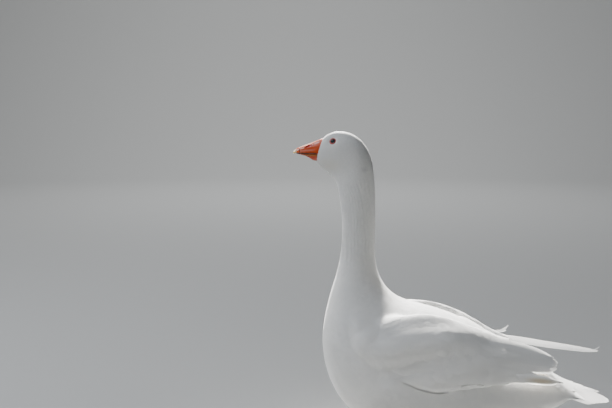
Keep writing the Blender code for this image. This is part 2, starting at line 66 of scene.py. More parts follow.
# Spots: place and target from the axis of the neck, width in degrees, watts.
SPOTS = {
    "key": ((-0.53, 2.47, 2.61), (0.155, 0, 0.42), 15.5, 4450),
    "rim": ((-2.5, 1.6, 1.5), (0.02, 0, 0.42), 18.0, 250),
}
SUN_COLOUR = (1.0, 0.975, 0.93)
# Soft discs: place and target, diameter, watts, colour.
DISCS = {
    "fill": ((-1.2, -2.6, 3.0), (0, 0, 0.4), 2.0, 10, (0.9, 0.95, 1.0)),
    "breast_fill": ((-2.4, -0.8, 3.0), (0, 0, 0.4), 1.6, 100, (0.9, 0.94, 1.0)),
    "rear": ((-1.5, 5.2, 4.2), (-1.5, 5.8, 0.0), 4.0, 190, (0.97, 0.985, 1.0)),
}
ROOM_COLOUR, ROOM_LIGHT = (0.9, 0.945, 1.0, 1), 0.135

# ---- Skin ----
FLESH = ["head", "neck_upper", "neck_lower", "trunk", "tail",
         "wing_left", "wing_right", "thigh_left", "thigh_right"]
SKIN_VOXEL, SKIN_TRIANGLES = 0.0026, 190000
WING, THIGH = 1, 2  # what part_of calls them
TAIL_SKIN_END = 0.452  # beyond this the tail is feathers only
# The line that the plumage follows, from the root of the bill to the tip of the tail: x, z.
PLUMAGE_LINE = (
    (-0.0785, 0.664), (-0.035, 0.661), (-0.006, 0.64), (0.0, 0.59), (0.0015, 0.53), (0.0, 0.46),
    (0.0, 0.405), (0.015, 0.34), (0.08, 0.27), (0.22, 0.215), (0.36, 0.192), (0.49, 0.18),
)
# The lower edge of the shoulder's plumage, which bulges over the folded wing: x, z.
SHOULDER_EDGE = (
    (0.0, 0.325), (0.007, 0.292), (0.022, 0.268), (0.058, 0.259), (0.09, 0.268), (0.125, 0.281),
    (0.17, 0.289), (0.22, 0.293), (0.27, 0.288), (0.32, 0.277),
)
SHOULDER_OUT, SHOULDER_IN = 0.007, 0.0066  # how far it stands out there, and the wing below falls in
# How the plumage grows along that line: metres from the bill, feather length, half width, spacing, and
# the depth of the coat over the skin.
PLUMAGE = (
    (0.0, 0.004, 0.0013, 0.0012, 0.0003),  # face
    (0.03, 0.0056, 0.0016, 0.0014, 0.0004),  # round the eye
    (0.07, 0.0092, 0.0021, 0.00185, 0.0007),  # cheeks and crown
    (0.11, 0.0125, 0.002, 0.002, 0.001),  # nape
    (0.16, 0.014, 0.0019, 0.002, 0.0012),  # neck
    (0.24, 0.0155, 0.0021, 0.0022, 0.0015),
    (0.29, 0.018, 0.0036, 0.0031, 0.002),
    (0.34, 0.023, 0.0062, 0.0045, 0.0025),  # root of the neck
    (0.42, 0.03, 0.0096, 0.0062, 0.0029),  # breast
    (0.55, 0.037, 0.0116, 0.0074, 0.0032),  # flanks, belly, back
    (0.7, 0.042, 0.0114, 0.0078, 0.0032),  # tail coverts
    (0.9, 0.044, 0.01, 0.0076, 0.0028),
)
# The same for the coverts of the folded wing, by x from the bend of the wing to its rear.
COVERTS = (
    (0.0, 0.015, 0.0044, 0.0035, 0.0024),
    (0.06, 0.02, 0.0056, 0.0044, 0.0025),
    (0.12, 0.03, 0.0088, 0.0068, 0.0026),
    (0.2, 0.046, 0.013, 0.0104, 0.0028),
    (0.31, 0.05, 0.013, 0.0106, 0.0028),
)
HEAD_END, NECK_END = 0.105, 0.3  # metres along the line
TAIL_COVERTS_END = 0.408
COVERTS_REAR = 0.235  # no covert has its root behind this
COVERTS_LOW = 0.236  # nor below this, behind the front of the wing: the secondaries show there
WING_AIM = (0.62, 0.03, 0.235)  # the coverts point to here, with y outwards
THIGH_LIE = (0.25, 0.0, -1.0)  # the thigh's feathers hang down

# ---- Flight feathers ----
SECONDARIES = 11  # down each wing, from the wrist inwards
# First and last secondary: x and z of root, middle and tip.
SECONDARY_ENDS = (
    ((0.07, 0.25), (0.12, 0.232), (0.19, 0.2165)),
    ((0.205, 0.27), (0.29, 0.252), (0.36, 0.24)),
)
# Tertials from the lowest to the highest: x and z of their tips, half widths, and x and z of the lowest
# and the highest root.
TERTIALS = {
    "left": (
        (0.385, 0.2505), (0.3915, 0.2545), (0.392, 0.259), (0.3935, 0.2625), (0.39, 0.266), (0.386, 0.2705),
    ),
    "right": (
        (0.37, 0.242), (0.374, 0.244), (0.376, 0.246), (0.376, 0.248), (0.375, 0.25), (0.373, 0.252),
    ),
}
TERTIAL_HALVES = (0.01, 0.012, 0.013, 0.014, 0.0145, 0.014)
TERTIAL_ROOTS = {"left": ((0.235, 0.268), (0.215, 0.316)), "right": ((0.235, 0.252), (0.215, 0.292))}
STEEP = 0.55  # cosine: a flight feather leaves the wing where its face turns further from straight out
# The near primaries, from the lowest up: x and z of root, middle and tip.
PRIMARIES = (
    ((0.314, 0.2325), (0.36, 0.2308), (0.4045, 0.2285)),
    ((0.313, 0.237), (0.356, 0.2348), (0.398, 0.2305)),
    ((0.312, 0.2415), (0.35, 0.2392), (0.39, 0.233)),
    ((0.311, 0.2455), (0.345, 0.2435), (0.381, 0.2365)),
)
# The flank's edge over the folded wing, x and z of its upper and lower end.
FLANK_START, FLANK_END = (0.026, 0.272), (0.128, 0.205)
# The far primaries stick out as a blade: its line, x, y and z, and where each feather ends along it.
BLADE_LINE = (
    (0.255, 0.05, 0.284), (0.31, 0.041, 0.2815), (0.36, 0.034, 0.2785), (0.41, 0.029, 0.276),
    (0.45, 0.0275, 0.273), (0.475, 0.0275, 0.2715),
)
BLADE_TIPS = (0.475, 0.467, 0.452, 0.434, 0.414, 0.392)
# Loose feathers, two at the blade's frayed tip and two on the far wing's ridge: x, y and z of root, middle
# and tip, and their half widths.
LOOSE_FEATHERS = (
    ((0.456, 0.0275, 0.2735), (0.468, 0.027, 0.2738), (0.4775, 0.0268, 0.28)),
    ((0.462, 0.0285, 0.2728), (0.47, 0.0285, 0.2716), (0.4765, 0.028, 0.2725)),
    ((0.276, 0.05, 0.296), (0.291, 0.05, 0.2975), (0.303, 0.0495, 0.3085)),
    ((0.272, 0.047, 0.296), (0.286, 0.047, 0.2955), (0.299, 0.046, 0.2985)),
)
LOOSE_HALVES = (0.0013, 0.0012, 0.0024, 0.0028)
# The tail's outline from above, from its left side to its right: y and x of the tips.
TAIL_OUTLINE = (
    (-0.058, 0.45), (-0.047, 0.461), (-0.03, 0.475), (-0.012, 0.491), (0.0, 0.497),
    (0.012, 0.492), (0.024, 0.475), (0.034, 0.469), (0.046, 0.486), (0.058, 0.474),
)
TAIL_FEATHERS, TAIL_ROOT = 12, 0.378  # how many, and x of their roots
# Rows of long feathers over the back, from the rearmost: x of the roots, length, and how far to each side.
MANTLE = ((0.258, 0.056, 0.036), (0.238, 0.058, 0.041), (0.218, 0.06, 0.045), (0.196, 0.06, 0.045))
MANTLE_GAP = 0.009
MANTLE_NODES = ["trunk", "tail", "wing_left", "wing_right", "tertials_left", "tertials_right"]
# The top of the tail along its middle: x, z.
TAIL_TOP = (
    (0.36, 0.242), (0.38, 0.233), (0.4, 0.222), (0.42, 0.212), (0.44, 0.203), (0.46, 0.195),
    (0.48, 0.187), (0.5, 0.18),
)
# How much lower it is at its sides: x, metres.
TAIL_DOME = ((0.38, 0.03), (0.4, 0.02), (0.42, 0.009), (0.44, 0.004), (0.46, 0.002), (0.5, 0.001))

# ---- Legs ----
LEG_TOP = (0.081, 0.09)  # between these heights the leg is drawn up
LEG_RISE = 0.016  # so far, to run on inside the thigh

# ---- Neck furrows ----
FURROWS = 30  # ridges round the neck
FURROW_DEPTH = 0.0046  # metres
FURROW_TOP, FURROW_LOW = 0.612, 0.408  # heights between which they show

# ---- Eyes ----
EYE_RADIUS = 0.007
EYE_AT = (-0.0492, 0.0131, 0.6805)  # y outwards
LID_OUTER, LID_INNER = 0.0069, 0.0045  # radii
LID_OUT = 0.0048  # the lids' plane, outwards from the eyeball's centre
# The side of the head round the eye: y at the eye, and its rise with x and with z.
EYE_FACE = (0.0179, 0.25, -0.52)
EYE_LOOK = (-0.216, 0.866, 0.45)  # where the eye looks, y outwards
# The skin is as it was beyond the first radius from the eye, and closed over the socket within the second.
SOCKET = (0.011, 0.0082)
CORNEA_SWELL = 0.0006
# Radii over which the pupil's black fades into the iris, and the iris into the dark ring round it.
PUPIL, IRIS = (0.0023, 0.002), (0.0033, 0.0039)

# ---- Colours ----
FLOOR_GREY = (0.5, 0.5, 0.49)
# The second colour makes the plumage warmer and darker towards the bottom.
WHITE, LOWER_TINT, GREY = (0.875, 0.875, 0.865), (0.8, 0.76, 0.68), (0.45, 0.45, 0.45)
# The chin's cream is painted warm bounce light.
# The stain colour also paints shade under the primaries.
STAIN_AND_SHADE, WARM_BOUNCE = (0.66, 0.52, 0.32), (0.8, 0.76, 0.62)
# The culmen's pink is a painted highlight.
ORANGE, RED, CULMEN_HIGHLIGHT = (0.52, 0.06, 0.005), (0.46, 0.012, 0.006), (0.72, 0.3, 0.17)
# The brown of the mouth line is painted shade where the bill's halves meet.
MOUTH_SHADE, OLIVE, NAIL_CREAM = (0.07, 0.02, 0.008), (0.26, 0.19, 0.025), (0.78, 0.66, 0.46)
# The stripe below the nostril is a painted sheen.
LOWER_BILL, SHEEN_STRIPE, TIP_ORANGE = (0.36, 0.035, 0.005), (0.48, 0.19, 0.14), (0.6, 0.16, 0.03)
NAIL_HORN, NAIL_BASE, TOOTH = (0.66, 0.42, 0.08), (0.54, 0.075, 0.008), (0.55, 0.26, 0.1)
TEAL, TEAL_STREAK, BLACK, DARK_RING = (
    (0.006, 0.034, 0.042), (0.022, 0.08, 0.095), (0.003, 0.003, 0.004), (0.01, 0.012, 0.014),
)
LID_RED, LID_DARK = (0.36, 0.026, 0.012), (0.12, 0.014, 0.009)
LEG_ORANGE, LEG_SOILED, LEG_SEAM = (0.6, 0.105, 0.01), (0.42, 0.09, 0.022), (0.36, 0.045, 0.006)
CLAW_PALE, CLAW_DARK = (0.46, 0.33, 0.2), (0.16, 0.11, 0.07)


# ---- Working with pieces ----
def place(x, y, z):
    """A point given from the axis of the neck, in the frame's own coordinates."""
    return Vector((NECK_X + x, y, z))


def from_neck(points):
    """x, y and z of points, from the axis of the neck."""
    return (points - [NECK_X, 0, 0]).T


def add(name, data):
    made = bpy.data.objects.new(name, data)
    bpy.context.scene.collection.objects.link(made)
    return made


def choose(*pieces):
    bpy.ops.object.select_all(action="DESELECT")
    for piece in pieces:
        piece.select_set(True)
    bpy.context.view_layer.objects.active = pieces[0]


def primitive(name, make, **settings):
    """A piece from a ready-made shape."""
    bpy.ops.object.select_all(action="DESELECT")
    make(**settings)
    bpy.context.object.name = name
    return bpy.context.object


def modify(piece, kind, **settings):
    """Adds a modifier of this kind and applies it."""
    modifier = piece.modifiers.new(kind.lower(), kind)
    for name, value in settings.items():
        setattr(modifier, name, value)
    choose(piece)
    bpy.ops.object.modifier_apply(modifier=modifier.name)


@contextlib.contextmanager
def editing(select=None):
    """Edit mode, with all of the piece selected ("SELECT"), none ("DESELECT"), or as it was."""
    bpy.ops.object.mode_set(mode="EDIT")
    if select:
        bpy.ops.mesh.select_all(action=select)
    yield
    bpy.ops.object.mode_set(mode="OBJECT")


def settle(piece):
    """Puts the piece's place, turn and size into its mesh."""
    choose(piece)
    bpy.ops.object.transform_apply(location=True, rotation=True, scale=True)


def read(data, name, width=1, kind=np.float32):
    found = np.empty(len(data) * width, kind)
    data.foreach_get(name, found)
    return found.reshape(-1, width) if width > 1 else found


def points_of(piece):
    return read(piece.data.vertices, "co", 3).astype(float)


def move_points(piece, points):
    piece.data.vertices.foreach_set("co", points.astype(np.float32).ravel())
    piece.data.update()


def attribute(mesh, name, kind, domain, values):
    """A named value for each point, edge or corner of a mesh."""
    field = {"FLOAT_VECTOR": "vector", "FLOAT_COLOR": "color"}.get(kind, "value")
    made = mesh.attributes.new(name, kind, domain)
    made.data.foreach_set(field, values.astype(bool if kind == "BOOLEAN" else np.float32).ravel())


def normals_of(piece):
    return read(piece.data.vertex_normals, "vector", 3).astype(float)


def unit(vectors):
    return vectors / np.maximum(np.linalg.norm(vectors, axis=-1, keepdims=True), 1e-12)


def ramp(value, low, high):
    """0 below low and 1 above high, smooth in between; the other way round when low is over high."""
    t = np.clip((value - low) / (high - low), 0, 1)
    return t * t * (3 - 2 * t)


def finish_piece(piece, material):
    piece.data.materials.clear()
    piece.data.materials.append(material)
    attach(piece, "root")
    return piece


def copy_of_nodes(name, nodes):
    """One piece from copies of CAD nodes, with their loose triangles merged."""
    copies = [add(name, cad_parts[cad].data.copy()) for cad in nodes]
    choose(*copies)
    if len(copies) > 1:
        bpy.ops.object.join()
    piece = copies[0]
    piece.data.materials.clear()
    with editing("SELECT"):
        bpy.ops.mesh.remove_doubles(threshold=1e-6)
    shading = piece.data.attributes.get("custom_normal")
    if shading:
        piece.data.attributes.remove(shading)
    return piece


def remesh(piece, voxel):
    modify(piece, "REMESH", mode="VOXEL", voxel_size=voxel, use_smooth_shade=True)


def thin_out(piece, most):
    """Brings a mesh down to this many triangles."""
    triangles = (read(piece.data.polygons, "loop_total", 1, np.int32) - 2).sum()
    modify(piece, "DECIMATE", ratio=most / float(triangles))


def smooth(piece, rounds, share=None):
    """Relaxes the mesh; share, from 0 to 1 for each point, says how much of it each point takes."""
    points = points_of(piece)
    edges = read(piece.data.edges, "vertices", 2, np.int32)
    count = np.bincount(edges.ravel(), minlength=len(points))[:, None]
    share = RELAX if share is None else RELAX * share[:, None]
    for _ in range(rounds):
        total = np.empty_like(points)
        for axis in range(3):
            values = points[:, axis]
            total[:, axis] = np.bincount(edges[:, 0], values[edges[:, 1]], len(points))
            total[:, axis] += np.bincount(edges[:, 1], values[edges[:, 0]], len(points))
        points += (total / np.maximum(count, 1) - points) * share
    move_points(piece, points)


# ---- The lie of the plumage ----
def smooth_line(stations, steps):
    """Catmull-Rom through the stations."""
    rows = np.array(stations, float)
    ends = np.vstack([2 * rows[0] - rows[1], rows, 2 * rows[-1] - rows[-2]])
    line = []
    for k in range(len(rows) - 1):
        before, a, b, after = ends[k : k + 4]
        for t in np.arange(steps) / steps:
            line.append(0.5 * (
                2 * a + (b - before) * t + (2 * before - 5 * a + 4 * b - after) * t**2
                + (3 * a - before - 3 * b + after) * t**3
            ))
    return np.array(line + [rows[-1]])


LINE = smooth_line(PLUMAGE_LINE, 8)
LINE = np.column_stack([LINE[:, 0] + NECK_X, np.zeros(len(LINE)), LINE[:, 1]])
LINE_ALONG = np.concatenate([[0], np.cumsum(np.linalg.norm(np.diff(LINE, axis=0), axis=1))])
LINE_TURN = unit(np.gradient(LINE, axis=0))


def along_line(points):
    """For each point, how far along the plumage line it lies and the line's direction there."""
    along, lie = [], []
    for block in np.array_split(points, max(1, len(points) // 20000)):
        away = np.linalg.norm(block[:, None, :] - LINE[None], axis=2)
        near = away.min(1, keepdims=True)
        weight = np.exp((near - away) / (0.22 * near + 0.004))
        weight /= weight.sum(1, keepdims=True)
        along.append(weight @ LINE_ALONG)
        lie.append(weight @ LINE_TURN)
    return np.concatenate(along), unit(np.concatenate(lie))


def grown(table, at, column):
    rows = np.array(table)
    return np.interp(at, rows[:, 0], rows[:, column])


class Surface:
    """A mesh that feathers grow on: its nearest points, smooth normals and unwrap."""

    def __init__(self, piece):
        mesh = piece.data
        mesh.calc_loop_triangles()
        self.points = points_of(piece)
        self.corners = read(mesh.loop_triangles, "vertices", 3, np.int32)
        self.normals = normals_of(piece)
        self.tree = BVHTree.FromPolygons(self.points.tolist(), self.corners.tolist())
        self.map = None
        if mesh.uv_layers:
            loops = read(mesh.loop_triangles, "loops", 3, np.int32)
            self.map = read(mesh.uv_layers[0].uv, "vector", 2)[loops]

    def shares(self, on, triangle):
        """Each point's shares of the three corners of its triangle."""
        a, b, c = (self.points[self.corners[triangle, k]] for k in range(3))
        ab, ac, ap = b - a, c - a, on - a
        bb, bc, cc = (ab * ab).sum(1), (ab * ac).sum(1), (ac * ac).sum(1)
        pb, pc = (ap * ab).sum(1), (ap * ac).sum(1)
        below = np.maximum(bb * cc - bc * bc, 1e-20)
        v, w = (cc * pb - bc * pc) / below, (bb * pc - bc * pb) / below
        return np.clip(np.column_stack([1 - v - w, v, w]), 0, 1)

    def nearest(self, places):
        """For each place, the nearest point on the surface, the normal there and its triangle."""
        found = [self.tree.find_nearest(spot) for spot in places.tolist()]
        on = np.array([tuple(hit[0]) for hit in found])
        triangle = np.array([hit[2] for hit in found])
        share = self.shares(on, triangle)[:, :, None]
        return on, unit((self.normals[self.corners[triangle]] * share).sum(1)), triangle

    def unwrapped(self, on, triangle):
        return (self.map[triangle] * self.shares(on, triangle)[:, :, None]).sum(1)


# ---- Skin ----
def part_of(points):
    """For each point, WING where a folded wing is nearest, THIGH where a thigh is, and 0 elsewhere."""
    best = np.full(len(points), np.inf)
    kind = np.zeros(len(points), int)
    for cad in FLESH:
        tree = Surface(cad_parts[cad]).tree
        away = np.array([tree.find_nearest(spot)[3] for spot in points.tolist()])
        # A thigh's solid runs up inside the trunk, so it counts only where it is clearly nearest.
        away += 0.0004 if "thigh" in cad else 0.0
        kind[away < best] = {"wing": WING, "thigh": THIGH}.get(cad.split("_")[0], 0)
        best = np.minimum(best, away)
    return kind


def furrow_share(points):
    """How much the neck's furrows show at each point, from 0 to 1."""
    x, _, z = from_neck(points)
    front = -x / NECK_RADIUS
    top = FURROW_TOP + 0.010 * np.clip(-front, -1, 1)
    share = ramp(z, top, top - 0.030) * ramp(z, FURROW_LOW, FURROW_LOW + 0.080)
    return share * (0.25 + 0.75 * ramp(front, -0.95, -0.35))


def furrows(points):
    """The neck's slanting ridges: the height to take off each point, in metres."""
    x, y, z = from_neck(points)
    # Up under the throat they lean forward with the neck.
    turn = np.arctan2(y, -0.017 * ramp(z, 0.540, 0.625) - x)
    wander = 0.34 * np.sin(z * 120 + 3 * turn) + 0.24 * np.sin(z * 263 - 5 * turn + 1.0)
    phase = FURROWS / 2 * turn + 14 * z * np.sign(y) + wander
    groove = 1 - np.abs(np.cos(phase))
    broken = 0.70 + 0.30 * np.sin(z * 330 + 11 * turn) * np.sin(z * 190 - 17 * turn)
    return FURROW_DEPTH * furrow_share(points) * broken * groove**1.3


def shoulder_fold(points, normals):
    """How far each point is moved out where the shoulder's plumage bulges over the wing, in metres."""
    edge = smooth_line(np.array(SHOULDER_EDGE), 12)
    ahead = unit(np.gradient(edge, axis=0))
    flat = points[:, [0, 2]] - [NECK_X, 0]
    x, z = flat.T
    over = np.full(len(points), -1.0)
    near = (np.abs(normals[:, 1]) > 0.2) & (x < 0.35) & (z > 0.18) & (z < 0.37)
    for k in np.where(near)[0]:
        apart = flat[k] - edge
        nearest = np.argmin((apart**2).sum(1))
        away, along = apart[nearest], ahead[nearest]
        over[k] = np.copysign(math.hypot(*away), along[0] * away[1] - along[1] * away[0])
    out = SHOULDER_OUT * ramp(over, -0.006, 0.018) * ramp(over, 0.060, 0.022) * ramp(x, 0.29, 0.17)
    back = SHOULDER_IN * ramp(over, 0.006, -0.014) * ramp(over, -0.050, -0.018)
    back = back * ramp(x, 0.030, 0.065) * ramp(x, 0.26, 0.15)
    side = ramp(np.abs(normals[:, 1]), 0.3, 0.6) * ramp(z, 0.350, 0.318)
    return (out - back) * side * near


def close_sockets(skin):
    """Lays the skin across each eye's socket, for the lids to rest on."""
    points = points_of(skin)
    for side in SIDES.values():
        u, w = points[:, 0] - NECK_X - EYE_AT[0], points[:, 2] - EYE_AT[2]
        face = EYE_FACE[0] + EYE_FACE[1] * u + EYE_FACE[2] * w - 0.0006
        out = points[:, 1] * side
        share = ramp(np.hypot(u, w), *SOCKET) * (out > 0) * (out < face)
        points[:, 1] += (face - out) * side * share
    move_points(skin, points)
    smooth(skin, 3, ramp(np.hypot(u, w), SOCKET[0] + 0.002, SOCKET[1]))


def make_skin():
    """One skin for head, neck, trunk and wings, lying inside the solids by the depth of the coat."""
    skin = copy_of_nodes("skin", FLESH)
    remesh(skin, SKIN_VOXEL)

    points = points_of(skin)
    along, _ = along_line(points)
    smooth(skin, 8, 1 - ramp(along, 0.0, 0.02) * 0.4)
    smooth(skin, 36, ramp(along, 0.30, 0.42))
    smooth(skin, 30, ramp(points_of(skin)[:, 0] - NECK_X, 0.33, 0.38))
    smooth(skin, 24, ramp(points_of(skin)[:, 2], 0.140, 0.118))  # fills the crease round the thighs
    points, normals = points_of(skin), normals_of(skin)
    depth = grown(PLUMAGE, along, 4)
    wing = part_of(points) == WING
    depth[wing] = grown(COVERTS, points[wing, 0] - NECK_X, 4)
    # Thin edges keep a third of their thickness.
    tree = Surface(skin).tree
    for k in np.where(along > 0.45)[0]:
        inward = Vector(-normals[k])
        hit = tree.ray_cast(Vector(points[k]) + inward * 0.0005, inward, 0.03)
        if hit[0] is not None:
            depth[k] = min(depth[k], hit[3] / 3)
    depth -= shoulder_fold(points, normals)
    move_points(skin, points - normals * depth[:, None])
    smooth(skin, 4, ramp(along, 0.30, 0.42))

    # The flesh of the tail thins out towards the roots of its feathers.
    points = points_of(skin)
    x = points[:, 0] - NECK_X
    core = np.interp(x, *np.array(TAIL_TOP).T) - 0.0055
    thin = 0.82 * ramp(x, 0.395, TAIL_SKIN_END) * (points[:, 2] < core)
    points[:, 2] += (core - points[:, 2]) * thin
    move_points(skin, points)

    # The neck gets a finer mesh, for its furrows.
    near, _ = along_line(read(skin.data.polygons, "center", 3))
    with editing("DESELECT"):
        pass
    skin.data.polygons.foreach_set("select", (near > 0.085) & (near < 0.33))
    with editing():
        bpy.ops.mesh.subdivide(number_cuts=1)
    smooth(skin, 3, np.minimum(1, furrow_share(points_of(skin)) * 4))
    points = points_of(skin)
    move_points(skin, points - normals_of(skin) * furrows(points)[:, None])
    close_sockets(skin)
    whole = Surface(skin)

    with editing("SELECT"):
        end = place(TAIL_SKIN_END, 0, 0)
        bpy.ops.mesh.bisect(plane_co=end, plane_no=(1, 0, 0), clear_outer=True, use_fill=True)
        bpy.ops.mesh.select_all(action="SELECT")
        bpy.ops.uv.smart_project(angle_limit=1.15, island_margin=0.002)
    skin.data.uv_layers[0].name = "OFBake"
    skin.data.shade_smooth()
    return skin, whole


# ---- Vanes: thin closed feathers ----
BARB_CELL = 0.030  # metres of feather to one unit of its own map
BARB_SLANT, BARB_WAVES = -0.30, 190.0
PATCH = 0.003  # each feather's share of the skin's unwrap
KEEL_DEPTH, KEEL_ROOM = 0.00025, 0.0002  # a vane's least depth, and what is left under a hollow top


class Cut:
    """The shape of a kind of feather: rows along it, places across it, and how blunt its tip is."""

    def __init__(self, rows, across, blunt, camber=0.04, shaft=0.0, soft=0.75, crowd=1.0):
        self.rows, self.columns, self.across = rows, len(across), np.array(across)
        # camber: the bulge of its middle. shaft: the shaft's height. soft: how far its shading keeps to the
        # form beneath. crowd: over 1, its rows draw together towards the tip.
        self.camber, self.shaft, self.soft = camber, shaft, soft
        even = (np.arange(rows) + 1) / (rows + 0.7)
        self.stops = np.concatenate([[0], 1 - (1 - even) ** crowd, [1]])
        wide = np.sqrt(self.stops) * np.sqrt(1 - self.stops**blunt)
        self.wide = wide / wide.max()
        # A vane's points: its root, rows of top points that each end with one of the keel, and its tip.
        self.each = 2 + rows * (self.columns + 1)
        self.spot = np.arange(1, self.each - 1).reshape(rows, -1)

    def faces(self):
        """Triangles of one vane: a top with all the columns, an underside with one keel, facing out."""
        keel, tip, last = self.columns, self.each - 1, self.columns - 1
        start, end = self.spot[0], self.spot[-1]
        found = []
        for c in range(last):
            found += [(0, start[c + 1], start[c]), (tip, end[c], end[c + 1])]
        found += [(0, start[0], start[keel]), (0, start[keel], start[last])]
        found += [(tip, end[keel], end[0]), (tip, end[last], end[keel])]
        strips = [(c, c + 1) for c in range(last)] + [(keel, 0), (last, keel)]
        for row, below in zip(self.spot, self.spot[1:]):
            for a, b in strips:
                found += [(row[a], row[b], below[b]), (row[a], below[b], below[a])]
        return np.array(found)


DOWNY = Cut(3, (1, 0, -1), 2.2, camber=0.02, soft=0.90, crowd=1.3)
HAIRY = Cut(3, (1, 0, -1), 2.0, camber=0.03, soft=0.88, crowd=1.3)
ROUND = Cut(5, (1, 0.5, 0, -0.5, -1), 2.6, camber=0.018, soft=0.94, crowd=1.5)
COVERT = Cut(7, (1, 0.55, 0, -0.55, -1), 2.8, camber=0.012, soft=0.97, crowd=1.2)
QUILL = Cut(13, (1, 0.55, 0.07, 0, -0.07, -0.55, -1), 4.0, shaft=0.0003, soft=0.7, crowd=1.6)
BROAD = Cut(13, (1, 0.55, 0.06, 0, -0.06, -0.55, -1), 9.0, camber=0.03, shaft=0.0003, soft=0.7, crowd=1.7)


def vane_mesh(name, cut, spots, normals, roots_map, tone, dye):
    """A piece from the points of its vanes.

    normals are what the top is shaded with, roots_map is each root's place on the skin's unwrap, tone
    is a number from 0 to 1 for each vane, and dye is the colour of each vane, or of each of its points.
    """
    count, faces = len(spots), cut.faces()
    corners = faces + cut.each * np.arange(count)[:, None, None]
    mesh = bpy.data.meshes.new(name)
    mesh.from_pydata(spots.reshape(-1, 3), [], corners.reshape(-1, 3))
    mesh.shade_smooth()

    # The outline is a sharp edge, so that the top and the underside are shaded apart.
    rim = np.ones(cut.each, bool)
    rim[cut.spot[:, 1:-2]] = rim[cut.spot[:, -1]] = False
    ends = read(mesh.edges, "vertices", 2, np.int32) % cut.each
    attribute(mesh, "sharp_edge", "BOOLEAN", "EDGE", rim[ends].all(1))

    def unwrap(layer, places):
        made = mesh.uv_layers.new(name=layer, do_init=False)
        made.uv.foreach_set("vector", places.astype(np.float32).ravel())

    across = np.concatenate([[0], np.tile(np.append(cut.across, 0), cut.rows), [0]])
    down = np.concatenate([[0], np.repeat(cut.stops[1:-1], cut.columns + 1), [1]])
    unwrap("OFBake", roots_map[:, None, None] + PATCH * np.column_stack([across / 2, down - 0.5])[faces])
    flat = np.repeat(np.column_stack([across, down])[faces][None], count, axis=0)
    reach = np.linalg.norm(spots[:, -1] - spots[:, 0], axis=1)
    flat[..., 1] *= reach[:, None, None] / BARB_CELL
    unwrap("Vane", flat)
    mesh.uv_layers.active = mesh.uv_layers["OFBake"]

    turned = np.where(np.isin(faces, cut.spot[:, -1]).any(1), -1.0, 1.0)[:, None, None]
    attribute(mesh, "custom_normal", "FLOAT_VECTOR", "CORNER", normals[:, faces] * turned)
    attribute(mesh, "tone", "FLOAT", "POINT", np.repeat(tone, cut.each))
    colours = np.ones((count, cut.each, 4))
    colours[:, :, :3] = dye if dye.ndim == 3 else dye[:, None]
    attribute(mesh, "dye", "FLOAT_COLOR", "POINT", colours)
    return add(name, mesh)


def walk(surface, root, lie, length, cut):
    """The line that each feather's shaft follows over a surface from its root, and the normals on it."""
    at, normal, _ = surface.nearest(root)
    track, ups = [at], [normal]
    heading = lie
    for before, stop in zip(cut.stops, cut.stops[1:]):
        heading = unit(heading - normal * (heading * normal).sum(1, keepdims=True))
        at, normal, _ = surface.nearest(at + heading * (length * (stop - before))[:, None])
        track.append(at)
        ups.append(normal)
    return np.stack(track, 1), np.stack(ups, 1)


def smooth_along(ups, rounds=3):
    """Normals along each line, evened out."""
    for _ in range(rounds):
        middle = ups[:, :-2] + 2 * ups[:, 1:-1] + ups[:, 2:]
        ups = unit(np.concatenate([ups[:, :1], middle, ups[:, -1:]], axis=1))
    return ups


